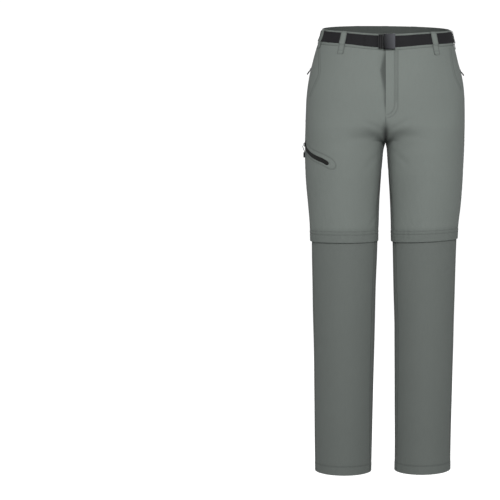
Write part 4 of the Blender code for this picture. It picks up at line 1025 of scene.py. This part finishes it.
# Belt: webbing through the loops and its turned-back end, both given by distances from the centre front
belt = {"height": 25.0, "wall": 1.6, "raise": 1.0, "from": 20.0, "to": -13.0, "rib": 2.4, "ribDepth": 0.2,
        "turnedFrom": -19.0, "turnedTo": -49.0, "turnedLift": 1.9, "rows": 16, "outside": 1.12, "selvedge": 1.2,
        "edgeRaise": 0.12, "edgeRaiseIn": 0.8, "edgeRadius": 0.7, "insideRadius": 0.6, "gap": 0.1, "folds": 0.4,
        "sag": 0.25, "slack": ((0.35, 0.021, 0.4), (0.2, 0.052, 0.0))}


def beltGrid(start, end, lift):
    # A cosine along the webbing makes ribs across it, that die out at two plain selvedges; the troughs between the
    # ribs get painted shade.
    length = abs(end - start) * waistLengths[1] * belt["outside"]
    place = np.linspace(start, end, int(3 * length / belt["rib"]))[None, :]
    half = belt["height"] / 2
    high = half * np.sin(np.radians(np.linspace(90.0, -90.0, belt["rows"])))[:, None]
    points, normals = clothAt("shorts", place, high)
    along = runLengths(points[belt["rows"] // 2])[None, :]
    toEdge = half - np.abs(high)
    rib = np.cos(2.0 * math.pi * along / belt["rib"]) * smoothStep(toEdge - belt["selvedge"])
    slack = sum(height * np.sin(along * turns + phase) for height, turns, phase in belt["slack"])
    sag = belt["folds"] * foldRelief(points) + belt["sag"] * slack * high / half
    edge = belt["edgeRaise"] * bell(toEdge - belt["edgeRaiseIn"], belt["edgeRadius"])
    face = lift + belt["wall"] + belt["ribDepth"] * rib + edge
    outer = raised(points, normals, face - rimOffset(toEdge, belt["edgeRadius"]) + sag)
    inner = raised(points, normals, lift + belt["gap"] + rimOffset(toEdge, belt["insideRadius"]) + sag)
    return outer, inner, 0.5 - 0.5 * rib


def makeBelt():
    # From under the plate all round to the receiver, then the turned-back end on top of the webbing.
    to, turnedTo, turnedFrom = (4.0 + waistPlace(belt[name]) for name in ("to", "turnedTo", "turnedFrom"))
    outer, inner, paintedShade = beltGrid(waistPlace(belt["from"]), to, belt["raise"])
    item = makeLayer("belt_webbing", "ribbed", "webbing", outer, inner, paintedShade)
    outer, inner, paintedShade = beltGrid(turnedTo, turnedFrom, belt["raise"] + belt["turnedLift"])
    item = makeLayer("belt_turned_end", "ribbed", "webbing", outer, inner, paintedShade)


# Belt loops: their places, the height of their lower ends, and stations as height and lift
loop = {
    "places": {"front_left": 0.48, "side_left": 0.875, "back_left": 1.62, "back_centre": 2.0, "back_right": 2.38,
               "side_right": 3.28, "front_right": 3.58},
    "end": {"front": -37.0, "side": -28.0, "back": -28.0},
    "stations": ((17.0, 0.75), (15.2, 1.0), (13.2, 3.0), (6.0, 3.15), (-6.0, 3.15), (-13.4, 3.0), (-16.0, 1.3),
                 (-20.5, 0.85)),
    "width": 15.0, "wall": 1.0, "endRaise": 0.5, "rows": 74, "columns": 43, "stitchIn": 2.0, "tacks": (2.2, 9.0),
    "corner": 3.2, "bulge": 0.15, "seamDepth": 0.22, "seamWidth": 0.7, "tackWidth": 0.8, "tackIn": 1.4,
    "tackRaise": 0.1, "thread": 0.22, "threadPitch": 1.45, "folds": 0.3, "edgeRadius": 0.45, "insideRadius": 0.3,
    "tackBlend": 0.6, "shade": 0.6, "edgeShade": 1.3, "edgeShadeWidth": 0.9, "endSlope": 0.1, "sewn": slice(3, -8),
}
loopRuns = []


def makeLoop(name, middle):
    # Up over the belt and down below it, stitched along both sides, and tacked at its lower end.
    end = loop["end"][name.split("_")[0]]
    last = loop["stations"][-1]
    below = ((last[0] + end) / 2, loop["endRaise"] + loop["endSlope"]), (end, loop["endRaise"])
    line = smoothPath(loop["stations"] + below, loop["rows"])
    high, lift = line[:, :1], line[:, 1:]
    half = loop["width"] / 2
    toEnd = np.clip(1.0 - (high - end) / loop["corner"], 0.0, 1.0)
    reach = half - loop["corner"] * (1.0 - np.sqrt(1.0 - toEnd ** 2))
    x = np.linspace(-1.0, 1.0, loop["columns"])[None, :] * reach
    points, normals = clothAt("shorts", middle + x / waistLengths[int(middle)], high)
    toEdge = np.minimum(reach - np.abs(x), np.minimum(high - end, form["waistTop"] - high))
    seam = bell(half - loop["stitchIn"] - np.abs(x), loop["seamWidth"])
    tack = sum(bell(high - end - up, loop["tackWidth"]) for up in loop["tacks"])
    tack = tack * smoothStep((half - loop["tackIn"] - np.abs(x)) / loop["tackBlend"])
    thread = loop["tackRaise"] + loop["thread"] * np.cos(2.0 * math.pi * x / loop["threadPitch"])
    folded = loop["folds"] * foldRelief(points)
    face = lift + loop["wall"] + loop["bulge"] * (1.0 - np.square(x / half)) - loop["seamDepth"] * seam
    outer = raised(points, normals, face + tack * thread + folded - rimOffset(toEdge, loop["edgeRadius"]))
    inner = raised(points, normals, lift + folded + rimOffset(toEdge, loop["insideRadius"]))
    # Painted shade along the stitching and tacks, and a painted shadow beside both long edges where the loop stands
    # off the belt.
    paintedShade = np.clip(loop["shade"] * (seam + tack), 0.0, 1.0)
    paintedShade = paintedShade + loop["edgeShade"] * bell(reach - np.abs(x), loop["edgeShadeWidth"])
    item = makeLayer("belt_loop_" + name, "cloth", "cloth", outer, inner, paintedShade)
    for side in (-1.0, 1.0):
        k = int(round((loop["columns"] - 1) * (0.5 + 0.5 * side * (1.0 - loop["stitchIn"] / half))))
        loopRuns.append((outer[loop["sewn"], k], normals[loop["sewn"], k]))


for name, middle in loop["places"].items():
    makeLoop(name, middle)
makeBelt()
print("belt and loops made")

# Pocket zips: a tape with a coil down its middle, or with slanted ribs
zips = {"lift": 0.4, "wall": 0.6, "inside": -0.3, "step": 0.44, "columns": 19, "coil": 1.5, "coilHeight": 0.55,
        "tooth": 1.32, "toothHeight": 0.16, "toothSlant": 0.3, "ribPitch": 2.7, "ribSlant": 0.85, "ribHeight": 0.3,
        "ribRaise": 0.25, "ribIn": 1.0, "ribBlend": 0.7, "edgeRadius": 0.35, "handPoints": 12, "leastEnd": 0.004}


def coilOn(x, along, settings):
    # Half an ellipse across the tape, with teeth as a cosine along it.
    roundness = np.sqrt(np.clip(1.0 - np.square(x / settings["coil"]), 0.0, 1.0))
    wave = np.cos(2.0 * math.pi * along / settings["tooth"])
    return roundness, wave, roundness * (settings["coilHeight"] + settings["toothHeight"] * wave)


def makeZip(node, ending, leg, path, width, slanted):
    # A tape along a path of seam distances and heights, round at both of its ends.
    total = runLengths(path)[-1]
    line = smoothPath(path, int(total / zips["step"]))
    s = np.linspace(0.0, total, len(line))[:, None]
    half = width / 2
    fromEnd = np.clip((half - np.minimum(total - s, s)) / half, 0.0, 1.0)
    reach = half * np.sqrt(np.maximum(1.0 - fromEnd ** 2, zips["leastEnd"]))
    x = np.sin(np.radians(np.linspace(-90.0, 90.0, zips["columns"])))[None, :] * reach
    ways = unit(np.gradient(line, axis=0))
    high = line[:, 1:] + ways[:, :1] * x
    place = frontPlace(leg, line[:, :1] - ways[:, 1:] * x, high)
    points, normals = clothAt("shorts", place, high)
    relief = reliefAt("shorts", place, high)[0]
    toEdge = reach - np.abs(x)
    # Painted shade: between the slanted ribs and at the tape's edges on a ribbed tape, and between the teeth on a
    # coil.
    if slanted:
        wave = np.cos(2.0 * math.pi * (s + zips["ribSlant"] * x) / zips["ribPitch"])
        inside = smoothStep((toEdge - zips["ribIn"]) / zips["ribBlend"])
        shape = inside * (zips["ribRaise"] + zips["ribHeight"] * wave)
        paintedShade = 1.0 - inside * (0.5 + 0.5 * wave)
    else:
        roundness, wave, shape = coilOn(x, s + zips["toothSlant"] * x, zips)
        paintedShade = roundness * (0.5 - 0.5 * wave)
    face = zips["lift"] + zips["wall"] + relief + shape - rimOffset(toEdge, zips["edgeRadius"])
    grids = raised(points, normals, face), raised(points, normals, zips["lift"] + zips["inside"] + relief), paintedShade
    makeLayer(node, ending, "tape", *(grid[:, ::-1] if leg == "left" else grid for grid in grids))


for leg in ("right", "left"):
    heights = np.linspace(handPocket["zipTop"], handPocket["zipEnd"], zips["handPoints"])
    straight = np.stack([np.full_like(heights, handPocket["zipFromSeam"]), heights], axis=1)
    makeZip("hand_pocket_zip_" + leg, "coil", leg, straight, handPocket["zipWidth"], False)
makeZip("thigh_pocket_zip", "ribbed", "right", zipLine, thighPocket["width"], True)

# Fly: the facing behind the left front, and the zip behind both fronts
flyParts = {"facingFrom": 1.5, "facingGap": 0.6, "facingWall": 0.8, "facingEnd": -200.0, "facingLeast": 4.0,
            "facingCurve": -166.0, "facingWidth": 29.0, "zipFrom": -11.0, "zipTo": 16.0, "zipTop": -24.0,
            "zipEnd": -180.0, "zipDepth": 1.1, "zipWall": 0.6, "zipLeastDip": 1.3, "coil": 2.2, "coilHeight": 0.4,
            "toothHeight": 0.15, "tooth": 1.6, "shade": 0.6, "facingIn": 3.0, "facingGrid": (70, 16),
            "zipGrid": (300, 41)}


def makeFly():
    # The facing follows the J of the stitching: its width falls to its end along a quarter ellipse.
    rows, columns = flyParts["facingGrid"]
    top, end = form["waistSeam"] - flyParts["facingIn"], flyParts["facingEnd"] + flyParts["facingIn"]
    high = np.linspace(top, end, rows)[:, None]
    span = flyParts["facingCurve"] - flyParts["facingEnd"]
    drop = np.clip((flyParts["facingCurve"] - high) / span, 0.0, 1.0)
    width = np.maximum(flyParts["facingWidth"] * np.sqrt(1.0 - drop ** 2), flyParts["facingLeast"])
    x = mixed(flyParts["facingFrom"], width, np.linspace(0.0, 1.0, columns)[None, :])
    place = x / lengthAt("shorts", 0, high)
    points, normals = clothAt("shorts", place, high)
    behind = reliefAt("shorts", place, high)[0] - form["wall"] - flyParts["facingGap"]
    outer = raised(points, normals, behind)
    item = makeLayer("fly_facing", "cloth", "cloth", outer, raised(points, normals, behind - flyParts["facingWall"]))
    rows, columns = flyParts["zipGrid"]
    high = np.linspace(flyParts["zipTop"], flyParts["zipEnd"], rows)[:, None]
    x = np.linspace(flyParts["zipFrom"], flyParts["zipTo"], columns)[None, :]
    points, normals = clothAt("shorts", x / lengthAt("shorts", 0, high), high)
    roundness, wave, teeth = coilOn(x - (flyParts["zipFrom"] + flyParts["zipTo"]) / 2, high, flyParts)
    dip = np.maximum(column(flyDips, "depth", high), flyParts["zipLeastDip"])
    behind = -dip - form["wall"] - flyParts["zipDepth"]
    outer, inner = (raised(points, normals, lift) for lift in (behind + teeth, behind - flyParts["zipWall"]))
    # Painted shade over the coil.
    makeLayer("fly_zip", "coil", "tape", outer, inner, flyParts["shade"] * roundness * np.ones_like(high))


makeFly()

# Knee zips under the flaps, with the coil's height on the tape and its turns round the leg
kneeZip = {"top": -466.0, "turn": -473.0, "end": -498.0, "insideShorts": 0.3, "gap": 0.5, "wall": 1.0,
           "coilAt": -482.0, "coil": 2.4, "coilHeight": 0.45, "teeth": 0.3, "toothTurns": 760.0, "rows": 40,
           "rowsAbove": 5, "columns": 421, "start": 0.0005}


def makeKneeZip(leg, places):
    # A ring under the flap: sewn inside the shorts at its top, then down inside the top of the leg.
    lower = np.linspace(kneeZip["turn"], kneeZip["end"], kneeZip["rows"])
    top, bottom = (clothAt(*at) for at in (("shorts", places[None, :], kneeZip["top"]),
                                           ("legs", places[None, :], kneeZip["turn"])))
    share = np.linspace(0.0, 1.0, kneeZip["rowsAbove"])[:-1, None, None]
    under, wall = form["wall"] + kneeZip["insideShorts"], form["wall"] + kneeZip["gap"]
    points, normals = clothAt("legs", places[None, :], lower[:, None])
    fromCoil = np.square((lower[:, None, None] - kneeZip["coilAt"]) / kneeZip["coil"])
    coil = kneeZip["coilHeight"] * np.sqrt(np.clip(1.0 - fromCoil, 0.0, 1.0))
    teeth = coil * (1.0 + kneeZip["teeth"] * np.cos(places * kneeZip["toothTurns"])[None, :, None])
    outer = np.concatenate([mixed(top[0] - top[1] * under, bottom[0] - bottom[1] * wall, share),
                            points - normals * (wall - teeth)])
    inner = outer - np.concatenate([mixed(top[1], bottom[1], share), normals]) * kneeZip["wall"]
    makeLayer("knee_zip_" + leg, "coil", "tape", outer, inner, closed=True)


for leg, first in (("left", 0.0), ("right", 2.0)):
    makeKneeZip(leg, first + np.linspace(kneeZip["start"], 2.0 - kneeZip["start"], kneeZip["columns"])[:-1])
print("zips made")

# Stitches: each a bead of thread, long and low, that dips into the cloth at both ends
stitch = {"pitch": 3.0, "length": 2.3, "half": 0.3, "height": 0.34, "sunk": 0.18, "reach": 0.6, "closePitch": 2.6,
          "short": 0.005, "points": 300, "beltEnd": (2.5, 5.5, 28.0), "beltHalf": 10.5, "beltPoints": 30,
          "uvScale": 0.002}
beadEnds = [(-0.5, 0, -0.3), (0.5, 0, -0.3)]
beadRings = [(t, math.cos(turn), math.sin(turn)) for t in (-0.28, 0.28) for turn in np.radians((0, 90, 180, 270))]
beadPoints = np.array([beadEnds[0], *beadRings, beadEnds[1]])
beadFaces = np.array([face for k, after in enumerate((1, 2, 3, 0)) for face in (
    (0, 1 + after, 1 + k), (9, 5 + k, 5 + after), (1 + k, 1 + after, 5 + after), (1 + k, 5 + after, 5 + k))])


def sew(name, runs, pitch=stitch["pitch"], look="thread"):
    # Beads at equal steps along each run of points with normals.
    made = []
    sizes = beadPoints * (stitch["length"], stitch["half"], stitch["height"])
    for points, normals in runs:
        along = runLengths(points)
        at = np.arange(pitch / 2, along[-1], pitch)
        centre, normal = readAt(at, along, points), readAt(at, along, normals)
        way = unit(readAt(at + stitch["reach"], along, points) - readAt(at - stitch["reach"], along, points))
        normal = unit(normal - way * np.sum(way * normal, axis=1)[:, None])
        side = np.cross(normal, way)
        up = sizes[:, 2] + stitch["height"] / 2 - stitch["sunk"]
        made.append(centre[:, None] + way[:, None] * sizes[:, :1] + side[:, None] * sizes[:, 1:2]
                    + normal[:, None] * up[:, None])
    beads = np.concatenate(made)
    faces = (beadFaces[None] + len(beadPoints) * np.arange(len(beads))[:, None, None]).reshape(-1, 3)
    uv = np.tile(beadPoints[:, :2] * stitch["uvScale"], (len(beads), 1))
    item = makeMesh(name, beads, faces, look, uv, np.zeros(len(uv)))
    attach(item, "garment")
    return len(beads)


def clothRun(kind, places, heights):
    # Points on the panels' own relief, with the surface's normals.
    points, normals = clothAt(kind, places, heights)
    return raised(points, normals, reliefAt(kind, places, heights)[0]), normals


def sideRun(leg, path):
    # A path of seam distances and heights on a front panel.
    return clothRun("shorts", frontPlace(leg, path[:, 0], path[:, 1]), path[:, 1])


def levelRun(kind, places, height):
    # One height on the panels.
    return clothRun(kind, places, np.full_like(places, height))


def bandRun(places, height, rightFront=False):
    # One height on the waistband's outer face.
    high = np.full_like(places, height)
    points, normals = clothAt("shorts", places, high)
    points = raised(points, normals, band["raise"] + bandRelief(points, places, high)[0])
    if rightFront:
        sinkRightFront(points, places, high)
    return points, normals


def beltEndRun(distance):
    # A row across the turned-back end, on top of both layers of webbing.
    heights = np.linspace(stitch["beltHalf"], -stitch["beltHalf"], stitch["beltPoints"])
    points, normals = clothAt("shorts", 4.0 + waistPlace(distance), heights)
    lift = belt["raise"] + belt["turnedLift"] + belt["wall"] + belt["ribDepth"] + belt["folds"] * foldRelief(points)
    return raised(points, normals, lift), normals


def makeStitches():
    # Runs stop just short of the seams where they would meet.
    short, points = stitch["short"], stitch["points"]
    rounds = [start + np.linspace(short, 1.0 - short, points) for start in range(4)]
    flyRuns = [clothRun("shorts", path[:, 0] / lengthAt("shorts", 0, path[:, 1]), path[:, 1]) for path in flyPaths]
    waist = []
    for row in (form["waistTop"] - band["topRow"], form["waistSeam"] + band["lowRow"]):
        waist += [bandRun(rounds[0], row), bandRun(np.linspace(1.0 + short, 3.0 - short, 2 * points), row),
                  bandRun(rounds[0] - 1.0, row, True)]
    count = sew("stitches_fly", flyRuns)
    count += sew("stitches_hand_pockets", [sideRun(leg, path) for leg in sidePaths for path in sidePaths[leg]])
    count += sew("stitches_thigh_pocket", [sideRun("right", pocketPath)])
    count += sew("stitches_knees", [levelRun("shorts", places, row) for places in rounds for row in knee["rows"]])
    count += sew("stitches_hems", [
        levelRun("legs", places, form["hem"][leg] + hem["row"]) for places, (leg, half) in zip(rounds, quarters)])
    count += sew("stitches_waistband", waist)
    count += sew("stitches_loops", loopRuns, stitch["closePitch"])
    ends = [beltEndRun(belt["turnedTo"] + further) for further in stitch["beltEnd"]]
    count += sew("stitches_belt_end", ends, stitch["closePitch"], "webbing")
    print("stitches made:", count)


makeStitches()

# Finishes of the nodes that are carried over as they are
finishes = {"buckle_plate": "plate", "buckle_receiver": "receiver", "thigh_pull_ring": "ring",
            "thigh_pull_tip": "plastic", "thigh_pocket_slider": "slider"}
for leg in ("left", "right"):
    finishes["hand_pocket_slider_" + leg] = "slider"
    finishes["hand_pocket_pull_" + leg] = "plastic"
for name, look in finishes.items():
    nodes[name].data.materials.clear()
    nodes[name].data.materials.append(looks[look])
print("finishes set:", len(finishes))

# Floor, backdrop and light, in metres and watts
studio = {
    "floor": {"height": -1.16, "half": 7.0, "near": -7.0, "far": 5.0, "radius": 1.2, "wall": 6.0, "across": 5,
              "curve": 24},
    "paper": (0.3, 0.3, 0.3, 1.0), "paperRoughness": 0.9,
    "world": 1.0, "worldColor": (1.0, 1.0, 1.0, 1.0), "ambient": 0.19, "ambientColor": (0.96, 0.98, 1.0, 1.0),
    "lights": {
        "key": {"place": (0.12, -2.6, 0.7), "aim": (0.0, 0.0, -0.2), "size": (1.0, 0.8), "power": 50.0},
        "left": {"place": (-1.8, -1.0, -0.4), "aim": (0.0, 0.0, -0.5), "size": (0.8, 1.4), "power": 9.0},
        "right": {"place": (1.8, -1.0, -0.4), "aim": (0.0, 0.0, -0.5), "size": (0.8, 1.4), "power": 9.5},
        "back": {"place": (0.0, 2.6, 0.9), "aim": (0.0, 0.0, -0.5), "size": (1.0, 1.0), "power": 48.0},
    },
}


def makeFloor(floor):
    # A floor that curves up into a wall behind: flat, then a quarter circle, then upright.
    angles = np.linspace(0.0, math.pi / 2, floor["curve"])
    radius, far = floor["radius"], floor["far"]
    y = np.concatenate([[floor["near"]], far + radius * np.sin(angles), [far + radius]])
    z = np.concatenate([[0.0], radius - radius * np.cos(angles), [floor["wall"]]]) + floor["height"]
    x = np.linspace(-floor["half"], floor["half"], floor["across"])
    grid = np.stack(np.broadcast_arrays(x[None, :], y[:, None], z[:, None]), axis=2) * 1000.0
    looks["floor"], tree, shader = newMaterial("studio_paper")
    seen = addNode(tree, "ShaderNodeLightPath").outputs["Is Camera Ray"]  # white as seen, duller as a reflector
    feed(tree, shader, {"Base Color": studio["paper"], "Roughness": studio["paperRoughness"],
                        "Emission Color": seen, "Emission Strength": 1.0})
    faces = gridFaces(np.arange(grid.size // 3).reshape(grid.shape[:2]))[:, [0, 3, 2, 1]]
    makeMesh("studio_floor", grid, faces, "floor")


def makeLight(name, settings):
    # An area light that faces its aim and isn't seen itself.
    data = bpy.data.lights.new(name, "AREA")
    data.shape = "RECTANGLE"
    data.size, data.size_y = settings["size"]
    data.energy = settings["power"]
    item = bpy.data.objects.new(name, data)
    bpy.context.scene.collection.objects.link(item)
    item.visible_camera = False
    item.location = settings["place"]
    way = Vector(settings["aim"]) - Vector(settings["place"])
    item.rotation_euler = way.to_track_quat("-Z", "Y").to_euler()


def makeWorld():
    # White as seen by the camera, and a faint cool light from everywhere.
    world = bpy.data.worlds.new("studio")
    world.use_nodes = True
    bpy.context.scene.world = world
    tree = world.node_tree
    tree.nodes.clear()
    seen = addNode(tree, "ShaderNodeBackground", {"Color": studio["worldColor"], "Strength": studio["world"]})
    lit = addNode(tree, "ShaderNodeBackground", {"Color": studio["ambientColor"], "Strength": studio["ambient"]})
    rays = addNode(tree, "ShaderNodeLightPath").outputs["Is Camera Ray"]
    mix = addNode(tree, "ShaderNodeMixShader", {0: rays, 1: lit.outputs[0], 2: seen.outputs[0]})
    addNode(tree, "ShaderNodeOutputWorld", {"Surface": mix.outputs[0]})


makeFloor(studio["floor"])
for name, settings in studio["lights"].items():
    makeLight(name + "_light", settings)
makeWorld()
bpy.context.scene.view_settings.view_transform = "Standard"
print("studio made")
